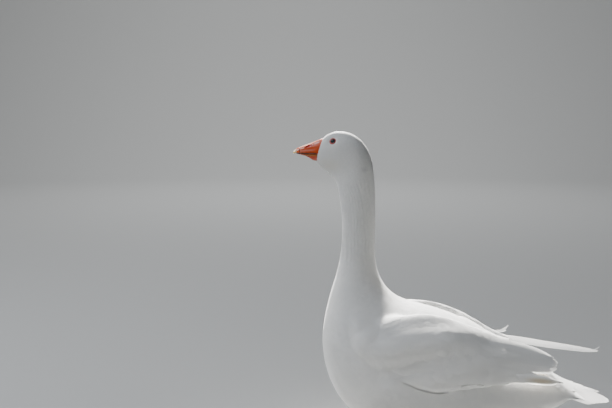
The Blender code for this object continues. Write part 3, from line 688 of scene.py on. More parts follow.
def make_vanes(
    track, ups, half, heights, cut, drape=None, tilt=0.0, ragged=0.0, hold=(0.010, 0.020), bend=-1.0
):
    """Points and shading normals of vanes along their tracks.

    heights lifts each stop of each vane off its track, drape is a surface that the sides are laid on,
    hold is how far the sides may be drawn to it before they run free, bend is the cosine of how far it
    may turn from the vane before they run free, tilt raises the +side edge, in metres, and ragged
    roughens the outline.
    """
    count, last = len(track), cut.columns - 1
    lifted = track + ups * heights[:, :, None]
    headings = unit(np.gradient(lifted, axis=1))
    spots, normals = np.empty((2, count, cut.each, 3))
    spots[:, 0], spots[:, -1] = lifted[:, 0], lifted[:, -1]
    normals[:, 0], normals[:, -1] = ups[:, 0], ups[:, -1]
    profile = cut.camber * (1 - cut.across**2)
    roll = min(0.08, 0.9 * (1 - cut.soft))
    for row, spot in enumerate(cut.spot, 1):
        up = ups[:, row]
        side = unit(np.cross(up, headings[:, row]))
        for column, across in enumerate(cut.across):
            wide = half * cut.wide[row]
            if ragged and abs(across) > 0.9:
                wide = wide * (1 - ragged * DICE.random(count))
            base, out = track[:, row] + side * (wide * across)[:, None], up
            if drape is not None and across:
                # The sides are laid on the surface where it is near, and run on freely past its edges.
                found, out, _ = drape.nearest(base)
                pull = np.linalg.norm(found - base, axis=1, keepdims=True)
                share = 1 - ramp(pull, *hold)
                share = share * ramp((out * up).sum(1, keepdims=True), bend, bend + 0.2)
                base, out = base + (found - base) * share, unit(out * share + up)
            height = heights[:, row] + half * profile[column] + tilt * across
            height = height + (cut.shaft * (1 - cut.stops[row]) if across == 0 else 0)
            spots[:, spot[column]] = base + out * height[:, None]
            normals[:, spot[column]] = unit(out + roll * across * side)
        # The keel of the underside lies deep enough to stay below a hollow top.
        middle = spots[:, spot[cut.columns // 2]]
        deep = np.full(count, KEEL_DEPTH)
        for column, across in enumerate(cut.across):
            edge = spots[:, spot[0 if across > 0 else last]]
            flat = middle + (edge - middle) * abs(across)
            over = ((flat - spots[:, spot[column]]) * up).sum(1)
            deep = np.maximum(deep, (over + KEEL_ROOM) / (1.02 - abs(across)) * (0 < abs(across) < 1))
        spots[:, spot[-1]] = middle - up * deep[:, None]
        normals[:, spot[-1]] = up
    # Part of the shading follows the vane's own shape.
    top = cut.spot[:, :-1]
    grid = np.empty((count, cut.rows + 2, cut.columns, 3))
    grid[:, 0], grid[:, 1:-1], grid[:, -1] = lifted[:, :1], spots[:, top], lifted[:, -1:]
    shape = unit(np.cross(np.gradient(grid, axis=1), -np.gradient(grid, axis=2))[:, 1:-1])
    normals[:, top] = unit(normals[:, top] * cut.soft + shape * (1 - cut.soft))
    return spots, normals


# ---- Scattering roots ----
TRIES = 3.2  # spots tried for each square of the spacing
FINEST_CELL = 0.001  # metres
NEIGHBOURS = {
    reach: sorted(
        itertools.product(range(-reach, reach + 1), repeat=3),
        key=lambda step: sum(value * value for value in step),
    )
    for reach in (1, 2)
}


def cell_of(spot, level):
    """The cell of a point in the grid of this level, and the cell's size."""
    size = FINEST_CELL * 2.0 ** (level + 1)
    return tuple(int(math.floor(value / size)) for value in spot), size


def scatter(surface, spacing_of, seed):
    """Roots over the whole surface, no two closer than the spacing there."""
    dice = np.random.default_rng(seed)
    a, b, c = (surface.points[surface.corners[:, k]] for k in range(3))
    area = np.linalg.norm(np.cross(b - a, c - a), axis=1) / 2
    spacing = spacing_of((a + b + c) / 3)
    wanted = area / spacing**2 * TRIES
    number = np.floor(wanted + dice.random(len(wanted))).astype(int)
    triangle = np.repeat(np.arange(len(area)), number)
    dice.shuffle(triangle)
    u, v = dice.random((2, len(triangle), 1))
    over = (u + v) > 1
    u, v = np.where(over, 1 - u, u), np.where(over, 1 - v, v)
    spots = a[triangle] * (1 - u - v) + b[triangle] * u + c[triangle] * v
    gaps = spacing[triangle]
    level_of = np.floor(np.log2(gaps / FINEST_CELL)).astype(int)
    levels = sorted(set(level_of.tolist()))
    kept, grids = [], {}

    def crowded(spot, gap, level):
        for other in (found for found in levels if abs(found - level) <= 1):
            (i, j, k), size = cell_of(spot, other)
            for di, dj, dk in NEIGHBOURS[1 if size >= gap else 2]:
                for near in grids.get((other, i + di, j + dj, k + dk), ()):
                    if sum((p - q) ** 2 for p, q in zip(spot, near)) < gap * gap:
                        return True
        return False

    for spot, gap, level in zip(spots.tolist(), gaps.tolist(), level_of.tolist()):
        if not crowded(spot, gap, level):
            grids.setdefault((level, *cell_of(spot, level)[0]), []).append(spot)
            kept.append(spot)
    return np.array(kept)


def ridge_share(points):
    """1 on the ridge of each folded wing and on the back between them, 0 on the sides."""
    x = points[:, 0] - NECK_X
    crest = np.interp(x, [0.03, 0.16, 0.30, 0.36], [0.345, 0.355, 0.300, 0.265])
    return ramp(points[:, 2], crest - 0.050, crest - 0.022) * ramp(x, 0.05, 0.09)


def spacing_at(points):
    along, _ = along_line(points)
    spacing = grown(PLUMAGE, along, 3)
    wing = part_of(points) == WING
    spacing[wing] = grown(COVERTS, points[wing, 0] - NECK_X, 3)
    return spacing * (1 - 0.15 * ridge_share(points))


# ---- Materials ----
def wire(tree, socket, value):
    """Links a socket to another, or gives it a value."""
    if isinstance(value, bpy.types.NodeSocket):
        tree.links.new(value, socket)
    else:
        socket.default_value = value


def new_material(name, colour, sockets):
    made = bpy.data.materials.new(name)
    made.use_nodes = True
    shader = made.node_tree.nodes["Principled BSDF"]
    shader.inputs["Base Color"].default_value = (*colour, 1)
    for socket, value in sockets.items():
        shader.inputs[socket].default_value = value
    return made, made.node_tree, shader


def node(tree, kind, **settings):
    made = tree.nodes.new(kind)
    for name, value in settings.items():
        if name in made.inputs:
            wire(tree, made.inputs[name], value)
        else:
            setattr(made, name, value)
    return made


def maths(tree, operation, *values):
    made = node(tree, "ShaderNodeMath", operation=operation)
    for socket, value in zip(made.inputs, values):
        wire(tree, socket, value)
    return made.outputs[0]


def colour_ramp(tree, factor, stops):
    made = node(tree, "ShaderNodeValToRGB", Fac=factor)
    for element, (position, colour) in zip(made.color_ramp.elements, stops):
        element.position = position
        element.color = (*colour, 1)
    return made.outputs["Color"]


def noise(tree, scale, detail=3.0):
    """Noise on the piece's own coordinates, in cells to the metre."""
    where = node(tree, "ShaderNodeTexCoord").outputs["Object"]
    return node(tree, "ShaderNodeTexNoise", Vector=where, Scale=scale, Detail=detail).outputs["Fac"]


def mix_colours(tree, share, first, second, blend="MIX"):
    made = node(tree, "ShaderNodeMix", data_type="RGBA", blend_type=blend)
    factor, a, b = (made.inputs[k] for k in (0, 6, 7))
    for socket, value in ((factor, share), (a, first), (b, second)):
        wire(tree, socket, (*value, 1) if isinstance(value, tuple) else value)
    return made.outputs[2]


def shade_paint(tree, shader, shade):
    """The colour that paint gave the piece, times this shade."""
    dye = node(tree, "ShaderNodeAttribute", attribute_name="dye").outputs["Color"]
    wire(tree, shader.inputs["Base Color"], mix_colours(tree, 1.0, dye, shade, "MULTIPLY"))


def bump(tree, shader, height, strength, distance):
    made = node(tree, "ShaderNodeBump", Strength=strength, Distance=distance, Height=height)
    wire(tree, shader.inputs["Normal"], made.outputs["Normal"])


def oval(x, z, middle, halves, slope=0.0):
    """For points seen from the side, 0 in the middle of an oval and 1 at its rim."""
    u = x - middle[0]
    return np.hypot(u / halves[0], (z - middle[1] - slope * u) / halves[1])


def band(away, width):
    """1 in the middle of a band and about a third at this width from it."""
    return np.exp(-((away / width) ** 2))


def tinted(base, count, *coats):
    """This many points of one colour, with coats laid over it, each a share and a colour."""
    colours = np.tile(base, (count, 1))
    for share, tint in coats:
        colours += (np.array(tint) - colours) * np.reshape(np.clip(share, 0, 1), (-1, 1))
    return colours


def paint(piece, colours):
    """Gives the piece a colour at each point, which its material reads."""
    rows = np.column_stack([np.clip(colours, 0, 1), np.ones(len(colours))])
    attribute(piece.data, "dye", "FLOAT_COLOR", "POINT", rows)


def finish_painted(piece, colours, material):
    paint(piece, colours)
    piece.data.shade_smooth()
    return finish_piece(piece, material)


def plumage_colour(points):
    """The colour of the plumage at each point: white, warmer and darker low down, with a stain and painted
    shade under the primaries, and painted warm bounce light on the chin.
    """
    x, y, z = from_neck(points)
    nape = oval(x, z, (0.0135, 0.626), (0.007, 0.005))
    under_primaries = oval(x, z, (0.362, 0.2345), (0.026, 0.0055), -0.12)
    chin_bounce = oval(x, z, (-0.062, 0.632), (0.030, 0.014))
    return tinted(
        WHITE, len(points),
        # Warmer and darker towards the bottom.
        (0.35 * ramp(z, 0.22, 0.08), LOWER_TINT),
        (0.30 * ramp(nape, 1.5, 0.0) * (y < 0), GREY),
        # A real yellowish stain under the near primaries, with painted warm shade in it.
        (0.75 * ramp(under_primaries, 1.5, 0.2) * (y < -0.03), STAIN_AND_SHADE),
        # Painted warm light, bounced up onto the chin.
        (0.25 * ramp(chin_bounce, 1.4, 0.3), WARM_BOUNCE),
    )


def plumage_material(name, barbs):
    """White feathers, a touch cooler or creamier from place to place, with fine slanting barbs."""
    made, tree, shader = new_material(name, WHITE, {
        "Roughness": 0.62, "Specular IOR Level": 0.25, "Sheen Weight": 0.25, "Sheen Roughness": 0.4,
        "Subsurface Weight": 0.35, "Subsurface Radius": (1.0, 0.97, 0.92), "Subsurface Scale": 0.003,
    })
    shade = colour_ramp(tree, noise(tree, 14.0), ((0.30, (0.94, 0.935, 0.92)), (0.62, (1, 1, 1))))
    if barbs:
        own = node(tree, "ShaderNodeAttribute", attribute_name="tone").outputs["Fac"]
        shade = mix_colours(tree, own, (0.93, 0.93, 0.925), shade)
        where = node(tree, "ShaderNodeUVMap", uv_map="Vane").outputs["UV"]
        across, down, _ = node(tree, "ShaderNodeSeparateXYZ", Vector=where).outputs
        slant = maths(tree, "MULTIPLY_ADD", maths(tree, "ABSOLUTE", across), BARB_SLANT, down)
        wave = maths(tree, "SINE", maths(tree, "MULTIPLY", slant, BARB_WAVES))
        bump(tree, shader, wave, 0.07, 0.0002)
    shade_paint(tree, shader, shade)
    return made


def painted_material(name, roughness, cells, grain, coat):
    """Living horn or skin: its painted colour, mottled a little, with a fine grain."""
    made, tree, shader = new_material(name, ORANGE, {
        "Roughness": roughness, "Coat Weight": coat, "Coat Roughness": 0.22,
    })
    shade_paint(tree, shader, colour_ramp(
        tree, noise(tree, cells, 4.0), ((0.28, (0.80, 0.74, 0.70)), (0.50, (1, 1, 1)))
    ))
    bump(tree, shader, noise(tree, grain, 3.0), 0.15, 0.0003)
    return made


# ---- Bill ----
MOUTH_Z = 0.6572  # height of the mouth line
TOOTH_IN, TOOTH_BELOW = 0.0011, 0.0016  # a tooth's middle, from the edge of the bill over it
BILL_ROOT = (-0.0819, 0.6548, 0.326)  # x and z of its edge corner, and how far x moves back for each z
NOSTRIL = ((-0.0998, 0.6698), (0.0074, 0.0021), 0.34)  # x and z of its middle, half sizes, slope
NOSTRIL_DEPTH = 0.0020
CULMEN = ((-0.134, 0.6560), (-0.1286, 0.6632), (-0.1206, 0.6673), (-0.0939, 0.6772), (-0.072, 0.6864))


def nostril_reach(points):
    """0 at the middle of the nostril on either side, 1 at its rim, and more outside."""
    x, y, z = from_neck(points)
    return np.where(np.abs(y) > 0.003, oval(x, z, *NOSTRIL), 9.0)


def bill_colours(points, upper):
    x, _, z = from_neck(points)
    if not upper:
        return tinted(
            ORANGE, len(points),
            (0.5, LOWER_BILL),
            (0.65 * band(z - 0.6515, 0.0013) * ramp(x, -0.112, -0.104), OLIVE),
            # Painted shade along the mouth line, on the lower half's upper edge.
            (0.85 * ramp(z, 0.6530, 0.6543), MOUTH_SHADE),
        )
    top = np.interp(x, *np.array(CULMEN).T) - z
    return tinted(
        ORANGE, len(points),
        # Painted highlight: a pink band along the culmen.
        (0.75 * ramp(top, 0.0034, 0.0008) * ramp(x, -0.078, -0.090), CULMEN_HIGHLIGHT),
        # Painted sheen: a pinkish-grey stripe below the nostril.
        (0.45 * (band(z - 0.6615 - 0.10 * (x + 0.10), 0.0022) * ramp(x, -0.080, -0.092)), SHEEN_STRIPE),
        (0.95 * ramp(nostril_reach(points), 1.25, 0.75), RED),
        # Painted shade along the mouth line, on the upper half's lower edge.
        (0.9 * ramp(z, 0.6575, 0.6558) * ramp(x, -0.0815, -0.086), MOUTH_SHADE),
        (0.2 * ramp(x, -0.112, -0.120), TIP_ORANGE),
    )


def make_bill():
    """The bill's upper and lower halves and the nail at its tip, each from its own solid."""
    skin = painted_material("bill_skin", 0.34, 160, 900, 0.35)
    horn = painted_material("nail_horn", 0.30, 220, 1500, 0.30)
    for cad, name, voxel in (
        ("bill_upper", "upper_bill", 0.00055), ("bill_lower", "lower_bill", 0.00055),
        ("bill_nail", "tip_of_bill", 0.00045),
    ):
        piece = copy_of_nodes(name, [cad])
        points = points_of(piece)
        root_x, root_z, lean = BILL_ROOT
        back = points[:, 0] - NECK_X - root_x - lean * (points[:, 2] - root_z)
        points[back > -0.0014, 0] += 0.004  # its root runs on under the feathers
        move_points(piece, points)
        remesh(piece, voxel)
        smooth(piece, 7)
        points, normals = points_of(piece), normals_of(piece)
        x, _, z = from_neck(points)
        if cad == "bill_upper":
            reach = nostril_reach(points)
            press = -NOSTRIL_DEPTH * np.clip(1 - reach**2, 0, 1) ** 0.7
            press += 0.00035 * band(reach - 1.25, 0.22)
            # A shallow hollow runs from the nostril towards the tip, over the swollen edge.
            press -= 0.00055 * band(z - 0.6630 - 0.12 * (x + 0.10), 0.0028) * ramp(x, -0.084, -0.092)
            move_points(piece, points + normals * press[:, None])
            smooth(piece, 1)
            colours = bill_colours(points, True)
        elif cad == "bill_lower":
            groove = band(z - 0.6497, 0.0009) * ramp(x, -0.084, -0.090)
            move_points(piece, points - normals * (0.0005 * groove)[:, None])
            colours = bill_colours(points, False)
        else:
            colours = tinted(
                NAIL_CREAM, len(points), (0.8 * ramp(z, 0.6600, 0.6570), NAIL_HORN),
                (ramp(x + 0.25 * (z - 0.66), -0.1275, -0.1235), NAIL_BASE),
            )
        tip = cad == "bill_nail"
        finish_painted(piece, colours, horn if tip else skin)
        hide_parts(cad)
    make_lamellae(skin)


def make_lamellae(skin):
    """The comb of small horny teeth along the mouth line."""
    form = Surface(copy_of_nodes("comb_form", ["bill_upper"]))
    bpy.data.objects.remove(bpy.data.objects["comb_form"])
    cone = {"vertices": 8, "radius1": 0.00052, "radius2": 0.00018, "depth": 0.0019}
    tooth = primitive("comb_of_bill", bpy.ops.mesh.primitive_cone_add, **cone)
    teeth = []
    for side in SIDES.values():
        for x in np.arange(-0.1160, -0.0870, 0.00145):
            hit = form.tree.ray_cast(place(x, side * 0.05, MOUTH_Z), Vector((0, -side, 0)), 0.1)[0]
            copy = add("tooth", tooth.data.copy())
            copy.location = (hit.x, hit.y - side * TOOTH_IN, MOUTH_Z - TOOTH_BELOW)
            copy.rotation_euler = (math.pi, 0, 0)
            copy.scale = (0.8, 1.2, 1.0)
            teeth.append(copy)
    bpy.data.objects.remove(tooth)
    choose(*teeth)
    bpy.ops.object.join()
    comb = bpy.context.object
    comb.name = "comb_of_bill"
    settle(comb)
    paint(comb, tinted(TOOTH, len(comb.data.vertices)))
    finish_piece(comb, skin)


# ---- Eyes ----
def eyeball_material():
    """Glossy, in its painted colours."""
    made, tree, shader = new_material("eyeball", TEAL, {
        "Roughness": 0.04, "Coat Weight": 1.0, "Coat Roughness": 0.02,
    })
    dye = node(tree, "ShaderNodeAttribute", attribute_name="dye").outputs["Color"]
    wire(tree, shader.inputs["Base Color"], dye)
    return made


def facing_out(points, centre, side):
    """Points of an eye turned from straight out to square with the side of the head."""
    look = Vector((EYE_LOOK[0], side * EYE_LOOK[1], EYE_LOOK[2]))
    turn = np.array(Vector((0, side, 0)).rotation_difference(look).to_matrix())
    middle = np.array([centre.x, centre.y + side * LID_OUT, centre.z])
    return (points - middle) @ turn.T + middle


def make_eyes():
    glossy = eyeball_material()
    lid_skin = painted_material("eyelid_skin", 0.42, 700, 2600, 0.2)
    for name, side in SIDES.items():
        x, y, z = EYE_AT
        centre = place(x, side * y, z)
        ball = primitive(
            "eyeball_" + name, bpy.ops.mesh.primitive_uv_sphere_add, segments=64, ring_count=40,
            radius=EYE_RADIUS, location=centre, rotation=(math.pi / 2, 0, 0),
        )
        settle(ball)
        points = points_of(ball)
        off_axis = np.hypot(points[:, 0] - centre.x - CORNEA_SWELL, points[:, 2] - centre.z)
        outer = side * (points[:, 1] - centre.y) > 0
        points[:, 1] += side * CORNEA_SWELL * ramp(off_axis, 0.0036, 0.0) * outer
        move_points(ball, facing_out(points, centre, side))
        streaks = 0.5 + 0.5 * np.sin(24 * np.arctan2(points[:, 2] - centre.z, points[:, 0] - centre.x))
        colours = tinted(
            TEAL, len(points), (0.3 * streaks, TEAL_STREAK), (ramp(off_axis, *PUPIL), BLACK),
            (ramp(off_axis, *IRIS), DARK_RING),
        )
        finish_painted(ball, colours, glossy)
        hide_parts("eye_" + name)

        ring = primitive(
            "eyelid_" + name, bpy.ops.mesh.primitive_torus_add, major_segments=64, minor_segments=16,
            major_radius=(LID_OUTER + LID_INNER) / 2, minor_radius=(LID_OUTER - LID_INNER) / 2,
            location=place(x, side * (y + LID_OUT), z), rotation=(math.pi / 2, 0, 0),
        )
        settle(ring)
        points = points_of(ring)
        u, w = points[:, 0] - centre.x, points[:, 2] - centre.z
        far = np.hypot(u, w)
        inner = ramp(far, LID_OUTER, LID_INNER)
        turn = np.arctan2(w, u)
        points[:, 1] += (centre.y + side * LID_OUT - points[:, 1]) * 0.35
        points[:, 0] += 0.0009 * inner + 0.0003 * np.cos(turn) * (1 - inner)
        points[:, 2] -= 0.0004 * np.sin(turn) * inner
        folds = np.sin(40 * turn) * 0.00006 + np.sin(3 * far / 0.0012) * 0.00005
        points[:, 1] += side * (folds + 0.0003 * ramp(-w, -0.001, 0.005))
        move_points(ring, facing_out(points, centre, side))
        dark = 0.6 * inner * ramp(far, LID_INNER + 0.0006, LID_INNER)
        finish_painted(ring, tinted(LID_RED, len(points), (dark, LID_DARK)), lid_skin)


# ---- Legs, feet and claws ----
def press_scales(piece, spacing, depth, seed):
    """Presses the seams between small scales into the skin of a leg."""
    surface = Surface(piece)
    seeds = scatter(surface, lambda spots: np.full(len(spots), spacing), seed)
    tree = KDTree(len(seeds))
    for k, spot in enumerate(seeds):
        tree.insert(spot, k)
    tree.balance()
    points, normals = surface.points, surface.normals
    two = [tree.find_n(spot, 2) for spot in points.tolist()]
    gap = np.array([pair[1][2] - pair[0][2] for pair in two])
    seam = 1 - ramp(gap, 0.0, spacing * 0.38)
    move_points(piece, points - normals * (depth * seam)[:, None])
    return seam


def make_legs():
    skin = painted_material("leg_scales", 0.46, 120, 1400, 0.12)
    horn = painted_material("claw_horn", 0.38, 400, 2000, 0.2)
    for k, name in enumerate(SIDES):
        leg = copy_of_nodes("leg_" + name, ["foot_" + name, "shank_" + name])
        remesh(leg, 0.00095)
        smooth(leg, 4)
        # The leg runs on up inside the thigh.
        points = points_of(leg)
        up = ramp(points[:, 2], *LEG_TOP)[:, None]
        middle = points[points[:, 2] > LEG_TOP[1] - 0.003].mean(0)
        points[:, :2] += (middle[:2] - points[:, :2]) * 0.25 * up
        points[:, 2:] += LEG_RISE * up
        move_points(leg, points)
        seam = press_scales(leg, 0.0030, 0.00032, 31 + k)
        soiled = 0.35 * ramp(points_of(leg)[:, 2], 0.012, 0.002)
        colours = tinted(LEG_ORANGE, len(seam), (soiled, LEG_SOILED), (0.45 * seam, LEG_SEAM))
        finish_painted(leg, colours, skin)
        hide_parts("foot_" + name, "shank_" + name)
        for toe in ("inner", "middle", "outer", "hind"):
            claw = copy_of_nodes(f"nail_{toe}_{name}", [f"claw_{toe}_{name}"])
            remesh(claw, 0.0006)
            smooth(claw, 3)
            x = points_of(claw)[:, 0]
            colours = tinted(CLAW_PALE, len(x), (0.7 * ramp(x, x.max(), x.min()), CLAW_DARK))
            finish_painted(claw, colours, horn)
            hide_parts(f"claw_{toe}_{name}")


# ---- Coat ----
class Coat:
    """Grows feathers: the skin that they are mapped to, the whole form under them, and their material."""

    def __init__(self, skin, whole, feather):
        self.skin, self.whole, self.feather = skin, whole, feather

    def grow(self, name, cut, track, ups, half, heights, tone=None, **how):
        """A piece of feathers along these tracks, laid as make_vanes is told."""
        spots, normals = make_vanes(track, ups, half, heights, cut, **how)
        if tone is None:
            tone = DICE.random(len(spots))
        on, _, triangle = self.skin.nearest(spots[:, 0])
        if cut.rows > 9:
            dye = plumage_colour(spots.reshape(-1, 3)).reshape(spots.shape)
        else:
            dye = plumage_colour(spots[:, cut.each // 2])
        piece = vane_mesh(name, cut, spots, normals, self.skin.unwrapped(on, triangle), tone, dye)
        finish_piece(piece, self.feather)
        print(name, len(spots), "feathers", len(piece.data.polygons), "triangles")
        return piece


def cover_body(coat):
    """The feathers of head, neck, body and folded wings."""
    roots = scatter(coat.skin, spacing_at, 5)
    roots = roots[roots[:, 0] < NECK_X + TAIL_SKIN_END - 0.004]
    count = len(roots)
    x, y, z = from_neck(roots)
    along, lie = along_line(roots)
    kind = part_of(roots)
    wing, thigh = kind == WING, kind == THIGH
    aim = np.column_stack([
        np.full(count, NECK_X + WING_AIM[0]), np.sign(y) * WING_AIM[1], np.full(count, WING_AIM[2])
    ])
    lie[wing] = unit(aim - roots)[wing]
    lie[thigh] = unit(np.array([THIGH_LIE]))
    _, normal, _ = coat.skin.nearest(roots)
    swing = DICE.uniform(-1, 1, count) * (0.05 + 0.02 * ramp(along, 0.25, 0.42))
    lie = unit(lie + np.cross(normal, unit(lie)) * swing[:, None])
    sizes = []
    for column in (1, 2, 4):
        sizes.append(grown(PLUMAGE, along, column))
        sizes[-1][wing] = grown(COVERTS, x[wing], column)
    length, half, depth = sizes
    ridge, rear = ridge_share(roots), ramp(x, 0.34, 0.40) * ~wing
    length = length * (1 + 0.20 * ridge) * (1 - 0.35 * rear) * DICE.uniform(0.85, 1.15, count)
    half = half * (1 - 0.15 * ridge) * DICE.uniform(0.9, 1.1, count)
    depth = depth * (1 - 0.25 * ridge) * (1 - 0.6 * rear) * DICE.uniform(0.975, 1.01, count)
    tone = DICE.uniform(0.0, 1.0, count)
    bare = (np.hypot(x - EYE_AT[0], z - EYE_AT[2]) < LID_OUTER + 0.0002) & (along < 0.08)
    bare |= ~wing & (x > TAIL_COVERTS_END)
    bare |= wing & ((x > COVERTS_REAR) | ((z < COVERTS_LOW) & (x > 0.11)))
    body = ~wing & (along >= NECK_END)
    for name, members, cut in (
        ("coat_head", ~wing & (along < HEAD_END), DOWNY),
        ("coat_neck", ~wing & (along >= HEAD_END) & (along < NECK_END), HAIRY),
        ("coat_body_left", body & (y < 0), ROUND),
        ("coat_body_right", body & (y >= 0), ROUND),
        ("coat_wing_left", wing & (y < 0), COVERT),
        ("coat_wing_right", wing & (y >= 0), COVERT),
    ):
        pick = np.where(members & ~bare)[0]
        track, ups = walk(coat.whole, roots[pick], lie[pick], length[pick], cut)
        rise = 1 - (1 - cut.stops) ** (2 if cut.rows < 5 else 3)
        heights = depth[pick][:, None] * rise - 0.0003 * (1 - rise)
        coat.grow(name, cut, track, ups, half[pick], heights, tone[pick], drape=coat.whole, ragged=0.06)


# ---- Flight feathers ----
def curve_through(stations, stops):
    """Points at the stops of a smooth line through three stations or more."""
    line = smooth_line(stations, 8)
    along = np.concatenate([[0], np.cumsum(np.linalg.norm(np.diff(line, axis=0), axis=1))])
    along /= along[-1]
    return np.column_stack([np.interp(stops, along, line[:, k]) for k in range(line.shape[1])])


def wing_form(name, nodes, rounds, voxel=0.0028):
    """The outside of these nodes, smoothed, for long feathers to lie on."""
    form = copy_of_nodes(name, nodes)
    remesh(form, voxel)
    smooth(form, rounds)
    surface = Surface(form)
    bpy.data.objects.remove(form)
    return surface


def outside(form, side, spots, steep=0.0):
    """Points of the wing's outer face at each x and z, and its normals.

    Where the face ends, or turns away more than steep allows, they run straight on.
    """
    found, ups, slope = [], [], 0.0
    for x, z in spots:
        hit, up, *_ = form.tree.ray_cast(place(x, side * 0.3, z), Vector((0, -side, 0)), 0.29)
        if hit is None and not found:
            hit, up, *_ = form.tree.find_nearest(place(x, side * 0.09, z))
        elif found and (hit is None or up.y * side < steep):
            ahead = x + NECK_X - found[-1].x
            hit, up = place(x, found[-1].y + slope * ahead, z), ups[-1]
        elif found:
            ahead = max(hit.x - found[-1].x, 1e-4)
            slope = float(np.clip((hit.y - found[-1].y) / ahead, -0.35, 0.35))
        found.append(hit)
        ups.append(up)
    return np.array(found), np.array(ups)


def laid_out(form, side, lines):
    """Tracks of long feathers along these lines on a wing's outer face, and their normals, evened out."""
    laid = [outside(form, side, curve_through(line, QUILL.stops), STEEP) for line in lines]
    track, ups = (np.array(part) for part in zip(*laid))
    return track, smooth_along(ups)


def wing_feathers(name, side, coat):
    """Secondaries and tertials, each lying over the one outside it."""
    nodes = ["wing_" + name, "tertials_" + name] + (["primaries_left"] if name == "left" else [])
    form = wing_form("wing_form", nodes, 22, 0.0052)
    rows = []  # stations, half width, height at the tip
    first, last = (np.array(ends) for ends in SECONDARY_ENDS)
    for k in range(SECONDARIES):
        share = k / (SECONDARIES - 1)
        rows.append((first + (last - first) * share, 0.0125, -0.0022 + 0.0018 * share))
    low, high = (np.array(root) for root in TERTIAL_ROOTS[name])
    for k, tip in enumerate(np.array(TERTIALS[name])):
        share = k / (len(TERTIAL_HALVES) - 1)
        root = low + (high - low) * share
        middle = (root + tip) / 2 + np.array([0.004, 0.002 * share])
        rows.append(((root, middle, tip), TERTIAL_HALVES[k], -0.0006 + 0.0016 * share))
    lines, half, tip = zip(*rows)
    track, ups = laid_out(form, side, lines)
    half = np.array(half) * DICE.uniform(0.94, 1.06, len(rows))
    rise = np.minimum(1, QUILL.stops / 0.45)
    heights = np.array(tip)[:, None] - 0.0035 * (1 - rise)
    # The lower edge of each lies over the feather below it.
    piece = coat.grow(
        "flight_feathers_" + name, QUILL, track, ups, half, heights, drape=form, tilt=0.0003 * side,
        ragged=0.05, hold=(0.0035, 0.0090), bend=0.55,
    )
    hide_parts("tertials_" + name)


def near_primaries(coat):
    """The near wing's primaries, which show between its secondaries and tertials."""
    form = wing_form("primary_form", ["primaries_left"], 6)
    track, ups = laid_out(form, SIDES["left"], PRIMARIES)
    rise = np.minimum(1, QUILL.stops / 0.5)
    heights = 0.0003 * np.arange(len(track))[:, None] - 0.0015 * (1 - rise)
    piece = coat.grow(
        "near_primaries", QUILL, track, ups, np.full(len(track), 0.0056), heights, drape=form,
        tilt=0.0002, ragged=0.04, hold=(0.0050, 0.0120), bend=0.55,
    )
    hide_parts("primaries_left")


def mantle_feathers(coat):
    """Long feathers of the back, which lie over the roots of both wings' tertials."""
    form = wing_form("mantle_form", MANTLE_NODES, 40)
    rows = []  # root, length, height at the tip
    for row, (start, length, reach) in enumerate(MANTLE):
        for y in np.arange(-reach, reach + 0.001, MANTLE_GAP) + (row % 2) * MANTLE_GAP / 2:
            hit = form.tree.ray_cast(place(start, y, 0.6), Vector((0, 0, -1)), 0.6)[0]
            rows.append((*hit, length, 0.0006 + 0.0004 * row))
    rows = np.array(rows)
    roots, count = rows[:, :3], len(rows)
    lie = np.column_stack([np.ones(count), -1.1 * roots[:, 1], np.full(count, -0.35)])
    length = rows[:, 3] * DICE.uniform(0.93, 1.07, count)
    track, ups = walk(form, roots, unit(lie), length, QUILL)
    rise = np.minimum(1, QUILL.stops / 0.5)
    heights = rows[:, 4:] - 0.006 * (1 - rise) ** 2
    half = 0.0092 * DICE.uniform(0.93, 1.05, count)
    coat.grow("mantle_feathers", QUILL, track, ups, half, heights, drape=form, ragged=0.05)


def flank_feathers(name, side, coat):
    """Long flank feathers that lap over the front of the folded wing's lower edge."""
    tracks, widths, tips = [], [], []
    for row, (shift, count) in enumerate(((0.0, 6), (0.013, 6), (0.026, 5))):
        for k in range(count):
            share = k / (count - 1)
            start = np.array(FLANK_START) + (np.array(FLANK_END) - FLANK_START) * share
            across = np.array([-0.62, -0.78]) * (shift + 0.008)
            length = 0.052 + 0.010 * share
            turn = 0.72 + 0.12 * share
            ahead = np.array([math.cos(turn), -math.sin(turn)]) * length
            root = start + across
            stations = (root - ahead * 0.5, root, root + ahead * 0.42 + np.array([0.003, 0.002]))
            line, _ = outside(coat.whole, side, curve_through(stations, COVERT.stops))
            # It bridges the crease between flank and wing.
            for _ in range(3):
                line[1:-1, 1] = (line[:-2, 1] + line[1:-1, 1] * 2 + line[2:, 1]) / 4
            tracks.append(line)
            widths.append(0.0115 - 0.0008 * row)
            tips.append(0.0024 - 0.0002 * row)
    track = np.array(tracks)
    ups = coat.whole.nearest(track.reshape(-1, 3))[1].reshape(track.shape)
    ups = unit(ups + np.array([0, 0.6 * side, 0]))
    rise = 1 - (1 - COVERT.stops) ** 2
    heights = np.array(tips)[:, None] * (0.25 + 0.75 * rise)
    coat.grow(
        "flank_feathers_" + name, COVERT, track, ups, np.array(widths), heights, drape=coat.whole,
        tilt=0.0016 * side, ragged=0.06,
    )


